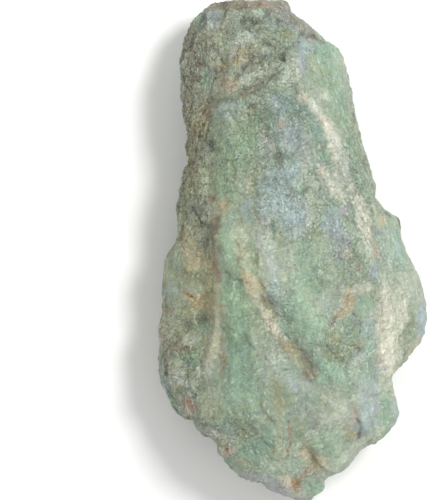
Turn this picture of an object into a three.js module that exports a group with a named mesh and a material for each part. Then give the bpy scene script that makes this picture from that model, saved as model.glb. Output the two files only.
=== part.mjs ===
// A rough, unpolished piece of green zoisite rock, one solid, in millimetres.
//
// The stone lies on its back: +Y runs to the narrow weathered head, +X to the right flank, +Z up
// through the worn front face. The origin is under the middle of its box, on the surface that it
// rests on. The skin is one closed grid of rows across the length and columns round each section:
//
//   1. rows run from the head to the foot, between a left and a right edge;
//   2. each section is a flattened oval, high at the front and cut off level at the back;
//   3. low planes cut that oval into broad faces;
//   4. ridges, valleys, lumps and pits, then uneven ground and chips, raise or sink the skin.

import * as THREE from 'three';

// ------------------------------------------------------------------ driving dimensions

const HALF_LENGTH = 59.1;            // head to foot is twice this
const ROWS = 80;
const COLUMNS = 62;
const FRONT_SHARE = 0.64;            // share of the columns that lie on the front
const HEAD_POWER = 8;                // how squarely the head closes, seen from the side,
const FOOT_POWER = 11;               // and the foot
const FRONT_POWER = 2.7;             // how boxy a usual section is in front
const BACK_POWER = 2.5;              // and behind
const EDGE_SMOOTHING = 6;            // the inside of a section follows edges averaged this far,
const EDGE_POWER = 5;                // and only its rim follows their notches
const TYPICAL_WIDTH = 28;            // half width, rise and fall of a usual section,
const TYPICAL_RISE = 19;             // used only to space the columns evenly
const TYPICAL_FALL = 15;

// Profiles along the length: [value, y], from the head to the foot.
const LEFT_EDGE = [
  [-12.7, 59.1], [-18.9, 58.5], [-21.7, 56.5], [-23.6, 54.8], [-26.0, 49.3], [-26.7, 44.3],
  [-26.5, 39.1], [-24.8, 30.3], [-24.6, 26.2], [-25.0, 24.3], [-24.8, 21.5], [-26.0, 18.4],
  [-26.8, 12.4], [-27.6, 10.3], [-27.1, 3.6], [-30.5, -3.5], [-30.8, -13.3], [-31.8, -27.6],
  [-31.5, -31.6], [-29.6, -35.7], [-26.3, -39.6], [-23.9, -40.1], [-22.2, -42.8],
  [-18.3, -45.9], [-16.3, -49.7], [-13.2, -53.3], [-11.5, -54.6], [-8.6, -54.9],
  [-5.9, -56.8], [1.6, -59.1],
];
const RIGHT_EDGE = [
  [-7.4, 59.1], [-2.8, 58.8], [-0.5, 56.4], [4.3, 52.8], [7.2, 49.6], [9.4, 48.5],
  [13.6, 36.7], [16.7, 22.7], [18.5, 16.8], [19.4, 15.0], [19.9, 11.3], [24.2, 7.2],
  [25.5, 2.9], [30.2, -7.3], [31.5, -13.0], [31.8, -15.9], [31.5, -18.5], [30.0, -22.1],
  [25.7, -26.6], [24.1, -28.5], [23.4, -30.2], [23.5, -38.5], [22.5, -42.1], [20.2, -44.7],
  [17.1, -46.5], [10.9, -52.6], [8.2, -54.2], [7.5, -55.1], [7.4, -56.8], [6.3, -57.9],
  [3.3, -59.1],
];
// Height of the widest line, left and right, then how far the front rises over it and the back
// falls under it. The fall is deeper than the line is high, so the back is cut level at z = 0.
const WAIST_LEFT = [[15, 59.1], [14.5, 30], [13.5, 0], [13, -30], [12, -59.1]];
const WAIST_RIGHT = [[15, 59.1], [15.5, 30], [14.5, 0], [13, -30], [12, -59.1]];
const RISE = [[14, 59.1], [16.5, 38], [20, 12], [20.5, -8], [19, -27], [15.5, -45], [12, -59.1]];
const FALL = [[13, 59.1], [15, 38], [16.3, 10], [16.1, -15], [14.5, -35], [10, -50], [9, -59.1]];
// How boxy the front is: a round head, a flat foot with steep sides.
const BOXINESS = [[2.4, 59.1], [2.6, 20], [2.8, -20], [3.4, -45], [3.4, -59.1]];
// The grain of the rock fans out from the head: its middle line and its half width.
const GRAIN_MIDDLE = [[-9, 59.1], [-6, 30], [-1, 0], [0, -25], [1, -59.1]];
const GRAIN_WIDTH = [[15, 59.1], [19.5, 30], [26, 0], [30, -25], [20, -59.1]];
const GRAIN_FULL_WIDTH = 25;
const GRAIN_STRETCH = 4;

// Broad faces: where each touches the oval, [x, y], and how deep it is cut.
const FRONT_FACES = [
  [9.0, 42.9, 1.9], [12.5, 29.8, 1.3], [17.3, 11.9, 1.3], [25.4, -11.9, 1.9], [20.2, -35.7, 1.8],
  [8.7, -48.7, 1.6], [-11.5, -45.2, 1.8], [-27.0, -28.5, 1.5], [-28.2, -4.7, 1.1],
  [-23.2, 16.7, 1.2], [-21.7, 33.4, 1.2], [-23.2, 47.6, 1.6], [-11.5, 56.2, 1.2],
  [-13.2, 45.3, 1.0], [1.6, 52.4, 1.3], [-8.5, 26.0, 1.0], [-13.0, 4.0, 0.9], [4.0, 6.0, 1.0],
  [-13.9, -19.0, 1.1], [10.0, -16.0, 1.1], [1.6, -35.7, 1.2],
];
const BACK_FACES = [
  [-8, 42, 1.6], [9, 33, 1.4], [-22, 36, 1.6], [12, 14, 1.2], [-14, 12, 1.0], [24, -12, 1.4],
  [-24, -14, 1.4], [2, -24, 1.0], [20, -36, 1.5], [-16, -40, 1.6], [2, -50, 1.4],
];
const FACE_BLEND = 0.6;              // rounding between two faces
const FACE_WAVE = 0.35;              // each face's own unevenness
const FACE_WAVE_SIZE = 9;
const LEAST_RISE = 0.6;              // no cut takes a section below this share of its height

// A ridge or lump narrower than this is widened to it and lowered as much, so that the grid
// carries it evenly.
const NARROWEST = 2.1;

// Ridges and valleys of the front: height, half width, points.
const STROKES = [
  // valley under the head, the rib above it, and the cleft that runs up to the shoulder
  { height: -0.8, width: 1.2, points: [[-22.4, 31.5], [-18.4, 34.3], [-14.1, 35.0], [-10.3, 36.9],
    [-7.4, 39.1], [-4.4, 41.5]] },
  { height: 1.0, width: 1.6, points: [[-13.6, 37.2], [-10.3, 40.0], [-7.0, 42.6], [-4.1, 43.8]] },
  { height: -0.5, width: 1.2, points: [[-15.3, 38.6], [-11.7, 42.9], [-8.4, 44.6], [-5.1, 45.3],
    [-2.9, 45.0]] },
  { height: -0.8, width: 1.3, points: [[-3.4, 44.1], [-1.3, 46.7], [0.9, 48.8]] },
  { height: -0.8, width: 1.2, points: [[0.9, 48.8], [2.5, 50.5], [6.6, 49.6]] },
  { height: 0.7, width: 1.5, points: [[-18.4, 32.4], [-9.4, 34.6], [-2.7, 39.6], [2.1, 45.3]] },
  // ridge between the face and the right flank, and the vein beside it
  { height: 1.0, width: 1.4, points: [[6.8, 37.7], [11.6, 29.1], [14.0, 17.7], [19.2, 7.2],
    [24.0, -2.1]] },
  { height: 0.8, width: 1.4, points: [[0.9, 37.7], [4.5, 32.4], [8.7, 26.7], [12.1, 15.5],
    [13.5, 10.8]] },
  // long ridge of the middle, and the groove on its right that deepens into a pocket
  { height: 0.7, width: 1.6, points: [[-12.7, -0.9], [-10.8, -8.3], [-8.2, -13.3], [-4.6, -18.8],
    [-0.8, -23.8]] },
  { height: -0.4, width: 1.3, points: [[-9.4, -2.8], [-7.4, -9.0], [-5.3, -12.8], [-3.4, -16.1]] },
  { height: -1.1, width: 1.6, points: [[-2.9, -17.1], [-0.8, -20.9], [1.6, -24.2], [3.5, -27.6]] },
  // smooth lobes right of the groove
  { height: 1.6, width: 3.1, points: [[-2.2, -10.9], [1.6, -14.7], [8.3, -21.8]] },
  { height: 1.4, width: 2.4, points: [[5.4, -24.2], [11.6, -31.4]] },
  // pale band of the right flank
  { height: 1.0, width: 2.6, points: [[20.2, -8.3], [22.5, -21.4], [22.1, -28.5]] },
  { height: -0.7, width: 1.2, points: [[25.9, -11.9], [26.3, -19.0], [25.4, -24.2]] },
  { height: -0.3, width: 1.1, points: [[20.4, -12.6], [20.6, -23.8]] },
  // trough left of the middle, between two ridges
  { height: -1.3, width: 2.8, points: [[-13.2, -9.0], [-12.2, -21.4], [-10.8, -33.7]] },
  { height: 1.0, width: 1.4, points: [[-17.7, -9.0], [-18.2, -19.9], [-20.8, -29.0]] },
  { height: 0.8, width: 2.1, points: [[-8.4, -16.1], [-4.1, -28.5], [-1.7, -33.7]] },
  // notches of the foot and the right edge
  { height: -1.2, width: 1.3, points: [[1.6, -44.7], [5.4, -50.9], [7.3, -53.3]] },
  { height: -1.2, width: 1.4, points: [[25.4, -27.8], [22.1, -31.8], [20.4, -35.7]] },
  { height: -0.9, width: 1.2, points: [[21.6, 11.2], [15.9, 14.3]] },
];
const FRAY = { reach: 0.7, size: 4.5, seed: 40 };    // how far ridges stray from their points
// Lumps and hollows of the front: height, place, half width and half length.
const LUMPS = [
  // head
  { height: 1.0, at: [-8.2, 55.0], size: [2.1, 1.5] },
  { height: 1.0, at: [-15.1, 45.3], size: [5.2, 5.2] },
  { height: 0.8, at: [8.7, 42.9], size: [4.3, 6.2] },
  // upper face
  { height: 0.8, at: [-13.9, 25.0], size: [3.8, 5.2] },
  { height: -0.9, at: [6.8, 22.2], size: [1.4, 2.1] },
  { height: 0.7, at: [-5.5, 8.4], size: [5.2, 6.2] },
  { height: -0.8, at: [-21.0, 3.6], size: [2.1, 3.3] },
  { height: 1.0, at: [-15.5, 1.0], size: [2.9, 6.4] },
  // pocket at the end of the groove, and the rough hollow on the right
  { height: -1.0, at: [3.5, -28.0], size: [1.9, 3.1] },
  { height: -1.5, at: [13.0, -22.6], size: [5.0, 4.5] },
  { height: 0.9, at: [15.9, -9.0], size: [3.3, 1.9] },
  // knobs of the lower left edge
  { height: 0.7, at: [-28.2, -9.5], size: [2.9, 3.3] },
  { height: 1.6, at: [-25.6, -22.4], size: [2.9, 2.2] },
  { height: 1.5, at: [-28.0, -30.0], size: [2.4, 3.0] },
  { height: 0.7, at: [-24.6, -35.0], size: [2.6, 2.4] },
  { height: 0.6, at: [-23.2, -28.0], size: [2.1, 2.6] },
  { height: 0.9, at: [-25.3, -38.0], size: [1.7, 1.4] },
  // foot
  { height: 1.0, at: [-16.0, -47.3], size: [1.9, 1.9] },
  { height: 0.8, at: [-4.6, -41.6], size: [3.3, 7.6] },
];

// Uneven ground: swells in two sizes, bowl-shaped chips, and splinters along the grain.
const SWELL = { size: 13, height: 0.9, seed: 1 };
const RIPPLE = { size: 6, height: 0.45, seed: 2 };
const CHIPS = { size: 10, height: 1.8, seed: 3 };
const SPLINTERS = { size: 5, height: 1.1, seed: 4 };
const CHIP_LEVEL = 0.35;             // mean depth of the bowls, taken off so that they stay level
const EDGE_STRENGTH = 0.3;           // the outline keeps its shape: little of it there,
const BACK_STRENGTH = 1.3;           // and more on the back

const ZOISITE = { color: 0x9ca492, roughness: 0.62, metalness: 0 };

// ------------------------------------------------------------------ helpers

const clamp = (value, low, high) => Math.min(Math.max(value, low), high);

function ease(value, low, high) {
  const t = clamp((value - low) / (high - low), 0, 1);
  return t * t * (3 - 2 * t);
}

// The smaller of two heights, rounded over where they meet.
function lower(a, b, blend) {
  return Math.min(a, b) - Math.max(blend - Math.abs(a - b), 0) ** 2 / (4 * blend);
}

// A monotone cubic curve through the knots of a profile, as a function of y.
function makeProfile(knots) {
  const values = knots.map((knot) => knot[0]).reverse();
  const places = knots.map((knot) => knot[1]).reverse();
  const last = values.length - 2;
  const gaps = [];
  const slopes = [];
  for (let k = 0; k <= last; k++) {
    gaps.push(places[k + 1] - places[k]);
    slopes.push((values[k + 1] - values[k]) / gaps[k]);
  }
  const tangents = [slopes[0]];
  for (let k = 1; k <= last; k++) {
    const before = 2 * gaps[k] + gaps[k - 1];
    const after = gaps[k] + 2 * gaps[k - 1];
    const turns = slopes[k - 1] * slopes[k] <= 0;
    tangents.push(turns ? 0 : (before + after) / (before / slopes[k - 1] + after / slopes[k]));
  }
  tangents.push(slopes[last]);
  return (y) => {
    let k = 0;
    while (k < last && places[k + 1] < y) {
      k++;
    }
    const t = (y - places[k]) / gaps[k];
    return (1 + 2 * t) * (1 - t) ** 2 * values[k]
      + t * (1 - t) ** 2 * gaps[k] * tangents[k]
      + t * t * (3 - 2 * t) * values[k + 1]
      + t * t * (t - 1) * gaps[k] * tangents[k + 1];
  };
}

// Evenly spaced stations along a line that is given by its samples and the run up to each.
function evenly(count, samples, runs) {
  const stations = [];
  let k = 0;
  for (let n = 0; n < count; n++) {
    const target = runs[runs.length - 1] * n / count;
    while (runs[k + 1] < target) {
      k++;
    }
    const part = (target - runs[k]) / (runs[k + 1] - runs[k]);
    stations.push(samples[k] + (samples[k + 1] - samples[k]) * part);
  }
  return stations;
}

// ------------------------------------------------------------------ noise

// A well mixed 32-bit number for each whole-number cell.
function hashed(x, y, z, seed) {
  let mixed = Math.imul(x, 374761393) + Math.imul(y, 668265263);
  mixed += Math.imul(z, 1440662683) + Math.imul(seed, 974634777);
  mixed = Math.imul(mixed ^ (mixed >>> 13), 1274126177);
  mixed = Math.imul(mixed ^ (mixed >>> 15), 2246822519);
  return (mixed ^ (mixed >>> 16)) >>> 0;
}

// Three numbers between -1 and 1 from one hashed number.
function three(mixed) {
  return [0, 10, 20].map((shift) => ((mixed >>> shift) & 1023) / 511.5 - 1);
}

// Smooth noise, about -1 to 1, whose swells are `size` apart.
function noise(point, size, seed) {
  const place = point.map((value) => value / size);
  const low = place.map(Math.floor);
  const part = place.map((value, axis) => value - low[axis]);
  const fade = part.map((t) => t ** 3 * (t * (t * 6 - 15) + 10));
  let total = 0;
  for (let corner = 0; corner < 8; corner++) {
    const step = [corner >> 2, (corner >> 1) & 1, corner & 1];
    const slope = three(hashed(low[0] + step[0], low[1] + step[1], low[2] + step[2], seed));
    let share = 1;
    let rise = 0;
    for (let axis = 0; axis < 3; axis++) {
      share *= step[axis] ? fade[axis] : 1 - fade[axis];
      rise += slope[axis] * (part[axis] - step[axis]);
    }
    total += share * rise;
  }
  return 1.6 * total;
}

// Shallow bowls that meet at sharp ridges: 0 in the deepest bowl, about 1 on the ridges.
function scoops(point, size, seed) {
  const place = point.map((value) => value / size);
  const low = place.map(Math.floor);
  let nearest = 9;
  for (let i = -1; i <= 1; i++) {
    for (let j = -1; j <= 1; j++) {
      for (let k = -1; k <= 1; k++) {
        const cell = [low[0] + i, low[1] + j, low[2] + k];
        const mixed = hashed(...cell, seed);
        const middle = three(mixed).map((value, axis) => cell[axis] + 0.5 + 0.5 * value);
        const away = place.map((value, axis) => (value - middle[axis]) ** 2);
        nearest = Math.min(nearest, away[0] + away[1] + away[2] + 0.25 * (mixed >>> 30) / 3);
      }
    }
  }
  return nearest;
}

// ------------------------------------------------------------------ plain body

const leftEdge = makeProfile(LEFT_EDGE);
const rightEdge = makeProfile(RIGHT_EDGE);
const waistLeft = makeProfile(WAIST_LEFT);
const waistRight = makeProfile(WAIST_RIGHT);
const rise = makeProfile(RISE);
const fall = makeProfile(FALL);
const grainMiddle = makeProfile(GRAIN_MIDDLE);
const grainWidth = makeProfile(GRAIN_WIDTH);

const boxiness = makeProfile(BOXINESS);

// An edge averaged along the length, over a shorter stretch near the tips.
function makeSmooth(edge) {
  return (y) => {
    const reach = Math.min(EDGE_SMOOTHING, 0.8 * (HALF_LENGTH - Math.abs(y)));
    const shifts = [-1, -2 / 3, -1 / 3, 0, 1 / 3, 2 / 3, 1];
    return shifts.reduce((sum, shift) => sum + edge(y + shift * reach), 0) / shifts.length;
  };
}

const smoothLeft = makeSmooth(leftEdge);
const smoothRight = makeSmooth(rightEdge);

// Share of its full height that a section keeps as the ends close.
function tip(y) {
  const power = y > 0 ? HEAD_POWER : FOOT_POWER;
  return Math.sqrt(Math.max(1 - Math.min(Math.abs(y) / HALF_LENGTH, 1) ** power, 0));
}

// Height of a flattened oval at `side`, which runs from -1 at the left edge to 1 at the right.
function oval(side, power) {
  return Math.max(1 - Math.abs(side) ** power, 0) ** (1 / power);
}

// Waist, front and back heights of the plain body in the section at y.
function section(side, y) {
  const waist = (waistLeft(y) * (1 - side) + waistRight(y) * (1 + side)) / 2;
  return {
    waist,
    front: waist + rise(y) * tip(y) * oval(side, boxiness(y)),
    back: waist - fall(y) * tip(y) * oval(side, BACK_POWER),
  };
}

function sectionAt(x, y) {
  const left = smoothLeft(y);
  const right = smoothRight(y);
  return section(clamp((2 * x - left - right) / (right - left), -1, 1), y);
}

// A plane that touches the front or back of the plain body, sunk into it by the face's depth.
function makeFace([x, y, depth], which, seed) {
  const step = 0.4;
  const height = (a, b) => sectionAt(a, b)[which];
  const slopeX = (height(x + step, y) - height(x - step, y)) / (2 * step);
  const slopeY = (height(x, y + step) - height(x, y - step)) / (2 * step);
  const sunk = which === 'front' ? height(x, y) - depth : height(x, y) + depth;
  return (point) => sunk + slopeX * (point[0] - x) + slopeY * (point[1] - y)
    + FACE_WAVE * noise(point, FACE_WAVE_SIZE, seed);
}

const frontFaces = FRONT_FACES.map((face, k) => makeFace(face, 'front', 200 + k));
const backFaces = BACK_FACES.map((face, k) => makeFace(face, 'back', 300 + k));

// Across a section, from the smoothed edges inside to the ragged ones at the rim.
function across(side, y) {
  const left = smoothLeft(y);
  const right = smoothRight(y);
  const notch = side < 0 ? leftEdge(y) - left : rightEdge(y) - right;
  return (left + right) / 2 + (right - left) / 2 * side + notch * Math.abs(side) ** EDGE_POWER;
}

// A point of the faceted body.
function bodyPoint(side, y, isFront) {
  const x = across(side, y);
  const plain = section(side, y);
  const ground = [x, y, plain.waist];
  if (isFront) {
    let z = plain.front;
    for (const face of frontFaces) {
      z = lower(z, face(ground), FACE_BLEND);
    }
    return [x, y, Math.max(z, plain.waist + LEAST_RISE * (plain.front - plain.waist))];
  }
  let z = plain.back;
  for (const face of backFaces) {
    z = -lower(-z, -face(ground), FACE_BLEND);
  }
  return [x, y, Math.min(z, plain.waist + LEAST_RISE * (plain.back - plain.waist))];
}

// Rows lie closer together where the edges or the height change fast.
function rowPlaces() {
  const samples = 4000;
  const places = [HALF_LENGTH];
  const runs = [0];
  for (let k = 1; k <= samples; k++) {
    const y = HALF_LENGTH * (1 - 2 * k / samples);
    const before = places[k - 1];
    const steepest = Math.max(
      Math.abs(leftEdge(y) - leftEdge(before)),
      Math.abs(rightEdge(y) - rightEdge(before)),
      Math.abs(rise(y) * tip(y) - rise(before) * tip(before)),
    );
    places.push(y);
    runs.push(runs[k - 1] + Math.hypot(y - before, steepest));
  }
  return [...evenly(ROWS, places, runs), -HALF_LENGTH];
}

// Sides, from 1 to -1, of evenly spaced columns over half of a typical section.
function halfSection(count, power, height) {
  const samples = 2000;
  const sides = [1];
  const runs = [0];
  for (let k = 1; k <= samples; k++) {
    const cosine = Math.cos(Math.PI * k / samples);
    const side = Math.sign(cosine) * Math.abs(cosine) ** (2 / power);
    const width = (side - sides[k - 1]) * TYPICAL_WIDTH;
    const climb = (oval(side, power) - oval(sides[k - 1], power)) * height;
    sides.push(side);
    runs.push(runs[k - 1] + Math.hypot(width, climb));
  }
  return evenly(count, sides, runs);
}

function bodyGrid() {
  const frontCount = Math.round(COLUMNS * FRONT_SHARE);
  const frontSides = halfSection(frontCount, FRONT_POWER, TYPICAL_RISE);
  const backSides = halfSection(COLUMNS - frontCount, BACK_POWER, TYPICAL_FALL);
  const sides = [...frontSides, ...backSides.map((side) => -side)];
  return rowPlaces().map((y) => sides.map((side, column) =>
    bodyPoint(side, y, column < frontCount)));
}

// ------------------------------------------------------------------ relief

// Outward normals of the grid; the columns close on themselves, the first and last row are tips.
function gridNormals(grid) {
  const point = (row, column) => new THREE.Vector3(...grid[row][(column + COLUMNS) % COLUMNS]);
  return grid.map((line, row) => line.map((_, column) => {
    if (row === 0 || row === ROWS) {
      return [0, row === 0 ? 1 : -1, 0];
    }
    const across = point(row, column + 1).sub(point(row, column - 1));
    const along = point(row + 1, column).sub(point(row - 1, column));
    return across.cross(along).normalize().toArray();
  }));
}

function distanceToLine(x, y, points) {
  let nearest = Infinity;
  for (let k = 1; k < points.length; k++) {
    const [ax, ay] = points[k - 1];
    const [bx, by] = points[k];
    const runX = bx - ax;
    const runY = by - ay;
    const t = clamp(((x - ax) * runX + (y - ay) * runY) / (runX * runX + runY * runY), 0, 1);
    nearest = Math.min(nearest, Math.hypot(x - ax - t * runX, y - ay - t * runY));
  }
  return nearest;
}

// The highest ridge plus the deepest hollow at a point, on skin that is turned to the front. The
// point is pushed about a little, so that no ridge runs smoothly.
function handPlacedRelief(point, normal) {
  const [x, y] = [0, 1].map((axis) =>
    point[axis] + FRAY.reach * noise(point, FRAY.size, FRAY.seed + axis));
  const heights = [0];
  for (const { height, width, points } of STROKES) {
    const spread = Math.max(width, NARROWEST);
    const away = distanceToLine(x, y, points) / spread;
    heights.push(height * width / spread * Math.exp(-(away ** 2)));
  }
  for (const { height, at, size } of LUMPS) {
    const spread = size.map((half) => Math.max(half, NARROWEST));
    const away = Math.hypot((x - at[0]) / spread[0], (y - at[1]) / spread[1]);
    heights.push(height * size[0] * size[1] / (spread[0] * spread[1]) * Math.exp(-(away ** 2)));
  }
  return (Math.max(...heights) + Math.min(...heights)) * ease(normal[2], -0.1, 0.35);
}

// The point in coordinates that follow the grain, squeezed along its length.
function grainPoint([x, y, z]) {
  const inside = clamp(y, -HALF_LENGTH, HALF_LENGTH);
  const across = (x - grainMiddle(inside)) / grainWidth(inside) * GRAIN_FULL_WIDTH;
  return [across, y / GRAIN_STRETCH, z];
}

function unevenGround(point, normal) {
  const front = 1 - EDGE_STRENGTH;
  const strength = EDGE_STRENGTH + front * ease(normal[2], 0, 0.5)
    + BACK_STRENGTH * ease(-normal[2], 0.1, 0.5);
  const swell = SWELL.height * noise(point, SWELL.size, SWELL.seed);
  const ripple = RIPPLE.height * noise(point, RIPPLE.size, RIPPLE.seed);
  const chips = CHIPS.height * (scoops(point, CHIPS.size, CHIPS.seed) - CHIP_LEVEL);
  const bowls = scoops(grainPoint(point), SPLINTERS.size, SPLINTERS.seed);
  return strength * (swell + ripple + chips + SPLINTERS.height * (bowls - CHIP_LEVEL));
}

function reliefGrid() {
  const grid = bodyGrid();
  const normals = gridNormals(grid);
  return grid.map((line, row) => line.map((point, column) => {
    const normal = normals[row][column];
    const height = handPlacedRelief(point, normal) + unevenGround(point, normal);
    const [x, y, z] = point.map((value, axis) => value + normal[axis] * height);
    return [x, y, Math.max(z, 0)];
  }));
}

// ------------------------------------------------------------------ mesh

// Joins the grid into one closed skin, with a single point at each end. Each cell is split along
// its shorter diagonal, so that slanting grooves stay smooth.
function skinOf(grid) {
  const middleOf = (line) => [0, 1, 2].map((axis) =>
    line.reduce((sum, point) => sum + point[axis], 0) / line.length);
  const positions = [...middleOf(grid[0])];
  for (const line of grid.slice(1, ROWS)) {
    positions.push(...line.flat());
  }
  positions.push(...middleOf(grid[ROWS]));

  const index = (row, column) => 1 + (row - 1) * COLUMNS + column % COLUMNS;
  const distance = (a, b) => Math.hypot(...[0, 1, 2].map((axis) =>
    positions[3 * a + axis] - positions[3 * b + axis]));
  const headTip = 0;
  const footTip = 1 + (ROWS - 1) * COLUMNS;
  const triangles = [];
  for (let column = 0; column < COLUMNS; column++) {
    triangles.push(headTip, index(1, column + 1), index(1, column));
    for (let row = 1; row < ROWS - 1; row++) {
      const here = index(row, column);
      const beside = index(row, column + 1);
      const below = index(row + 1, column);
      const across = index(row + 1, column + 1);
      if (distance(here, across) < distance(beside, below)) {
        triangles.push(here, beside, across, here, across, below);
      } else {
        triangles.push(here, beside, below, beside, across, below);
      }
    }
    triangles.push(footTip, index(ROWS - 1, column), index(ROWS - 1, column + 1));
  }

  const geometry = new THREE.BufferGeometry();
  geometry.setAttribute('position', new THREE.Float32BufferAttribute(positions, 3));
  geometry.setIndex(triangles);
  return geometry;
}

// Puts the middle of the box over the origin. The level back already lies at z = 0.
function centred(geometry) {
  geometry.computeBoundingBox();
  const middle = geometry.boundingBox.getCenter(new THREE.Vector3());
  geometry.translate(-middle.x, -middle.y, 0);
  geometry.computeVertexNormals();
  return geometry;
}

const stone = new THREE.Mesh(centred(skinOf(reliefGrid())), new THREE.MeshStandardMaterial(ZOISITE));
stone.name = 'rough_stone';

const part = new THREE.Group();
part.add(stone);

export default part;
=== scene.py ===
"""A rough, unpolished lump of green zoisite, lying on its back and seen from straight above.

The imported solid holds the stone's form. This script grows the same form on a much finer grid,
adds the cracks, chips and grains that the solid is too coarse for, and colours it by placed patches
that break up into each other along the grain of the rock. Lengths inside the shape functions are
millimetres in the stone's own outline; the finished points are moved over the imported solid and
written in metres.
"""

import bpy
import numpy as np
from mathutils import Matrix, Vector


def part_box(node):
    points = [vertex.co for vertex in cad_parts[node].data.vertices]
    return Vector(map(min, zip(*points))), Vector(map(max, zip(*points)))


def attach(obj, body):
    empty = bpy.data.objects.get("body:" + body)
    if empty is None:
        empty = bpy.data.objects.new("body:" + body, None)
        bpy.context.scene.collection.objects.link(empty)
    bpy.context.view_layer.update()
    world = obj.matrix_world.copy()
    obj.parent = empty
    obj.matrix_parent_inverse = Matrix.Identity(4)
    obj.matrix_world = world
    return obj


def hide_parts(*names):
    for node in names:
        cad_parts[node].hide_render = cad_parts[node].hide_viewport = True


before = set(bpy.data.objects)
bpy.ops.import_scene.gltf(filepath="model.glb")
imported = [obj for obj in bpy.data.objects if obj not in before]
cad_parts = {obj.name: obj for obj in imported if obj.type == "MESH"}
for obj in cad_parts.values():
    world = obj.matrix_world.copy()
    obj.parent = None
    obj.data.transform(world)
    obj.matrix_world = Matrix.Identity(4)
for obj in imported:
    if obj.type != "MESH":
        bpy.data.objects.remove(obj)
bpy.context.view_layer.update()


# ---------------------------------------------------------------- plain body of the stone
# The stone is one lump of rock, broken from its bed and never cut or polished. Nothing holds it: it
# lies on a level patch of its back. Its plain form is an oval section at each place along its
# length, between a left and a right edge, cut by broad broken faces.

HALF_LENGTH = 59.1
ROWS = 330
COLUMNS = 300
FINE_ROWS = 4001
FINE_COLUMNS = 2001
FRONT_SHARE = 0.70
HEAD_POWER = 8
FOOT_POWER = 11
FRONT_POWER = 2.7
BACK_POWER = 2.5
EDGE_SMOOTHING = 6
EDGE_STEPS = 3
REACH_AT_TIP = 0.8
EDGE_POWER = 5
TYPICAL_WIDTH = 28
TYPICAL_RISE = 19
TYPICAL_FALL = 15

LEFT_EDGE = [
    (-12.7, 59.1), (-18.9, 58.5), (-21.7, 56.5), (-23.6, 54.8), (-26.0, 49.3), (-26.7, 44.3),
    (-26.5, 39.1), (-24.8, 30.3), (-24.6, 26.2), (-25.0, 24.3), (-24.8, 21.5), (-26.0, 18.4),
    (-26.8, 12.4), (-27.6, 10.3), (-27.1, 3.6), (-30.5, -3.5), (-30.8, -13.3), (-31.8, -27.6),
    (-31.5, -31.6), (-29.6, -35.7), (-26.3, -39.6), (-23.9, -40.1), (-22.2, -42.8),
    (-18.3, -45.9), (-16.3, -49.7), (-13.2, -53.3), (-11.5, -54.6), (-8.6, -54.9),
    (-5.9, -56.8), (1.6, -59.1)]
RIGHT_EDGE = [
    (-7.4, 59.1), (-2.8, 58.8), (-0.5, 56.4), (4.3, 52.8), (7.2, 49.6), (9.4, 48.5),
    (13.6, 36.7), (16.7, 22.7), (18.5, 16.8), (19.4, 15.0), (19.9, 11.3), (24.2, 7.2),
    (25.5, 2.9), (30.2, -7.3), (31.5, -13.0), (31.8, -15.9), (31.5, -18.5), (30.0, -22.1),
    (25.7, -26.6), (24.1, -28.5), (23.4, -30.2), (23.5, -38.5), (22.5, -42.1), (20.2, -44.7),
    (17.1, -46.5), (10.9, -52.6), (8.2, -54.2), (7.5, -55.1), (7.4, -56.8), (6.3, -57.9),
    (3.3, -59.1)]
WAIST_LEFT = [(15, 59.1), (14.5, 30), (13.5, 0), (13, -30), (12, -59.1)]
WAIST_RIGHT = [(15, 59.1), (15.5, 30), (14.5, 0), (13, -30), (12, -59.1)]
RISE = [(14, 59.1), (16.5, 38), (20, 12), (20.5, -8), (19, -27), (15.5, -45), (12, -59.1)]
FALL = [(13, 59.1), (15, 38), (16.3, 10), (16.1, -15), (14.5, -35), (10, -50), (9, -59.1)]
BOXINESS = [(2.4, 59.1), (2.6, 20), (2.8, -20), (3.4, -45), (3.4, -59.1)]

# broad faces: where each touches the oval section, x and y, and how deep it is cut
FRONT_FACES = [
    (9.0, 42.9, 1.9), (12.5, 29.8, 1.3), (17.3, 11.9, 1.3), (25.4, -11.9, 1.9),
    (20.2, -35.7, 1.8), (8.7, -48.7, 1.6), (-11.5, -45.2, 1.8), (-27.0, -28.5, 1.5),
    (-28.2, -4.7, 1.1), (-23.2, 16.7, 1.2), (-21.7, 33.4, 1.2), (-23.2, 47.6, 1.6),
    (-11.5, 56.2, 1.2), (-13.2, 45.3, 1.0), (1.6, 52.4, 1.3), (-8.5, 26.0, 1.0),
    (-13.0, 4.0, 0.9), (4.0, 6.0, 1.0), (-13.9, -19.0, 1.1), (10.0, -16.0, 1.1),
    (1.6, -35.7, 1.2)]
BACK_FACES = [
    (-8, 42, 1.6), (9, 33, 1.4), (-22, 36, 1.6), (12, 14, 1.2), (-14, 12, 1.0), (24, -12, 1.4),
    (-24, -14, 1.4), (2, -24, 1.0), (20, -36, 1.5), (-16, -40, 1.6), (2, -50, 1.4)]
FACE_BLEND = 0.6
FACE_WAVE = 0.35
FACE_WAVE_SIZE = 9
LEAST_RISE = 0.6
FRONT_SEED = 200
BACK_SEED = 300

# what scrambles the bits of a cell's number, and what brings noise to about -1 to 1
CELL_FACTORS = np.array([374761393, 668265263, 1440662683])
SEED_FACTOR = 974634777
SCRAMBLE = [(13, 1274126177), (15, 2246822519)]
NOISE_GAIN = 1.6


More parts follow.
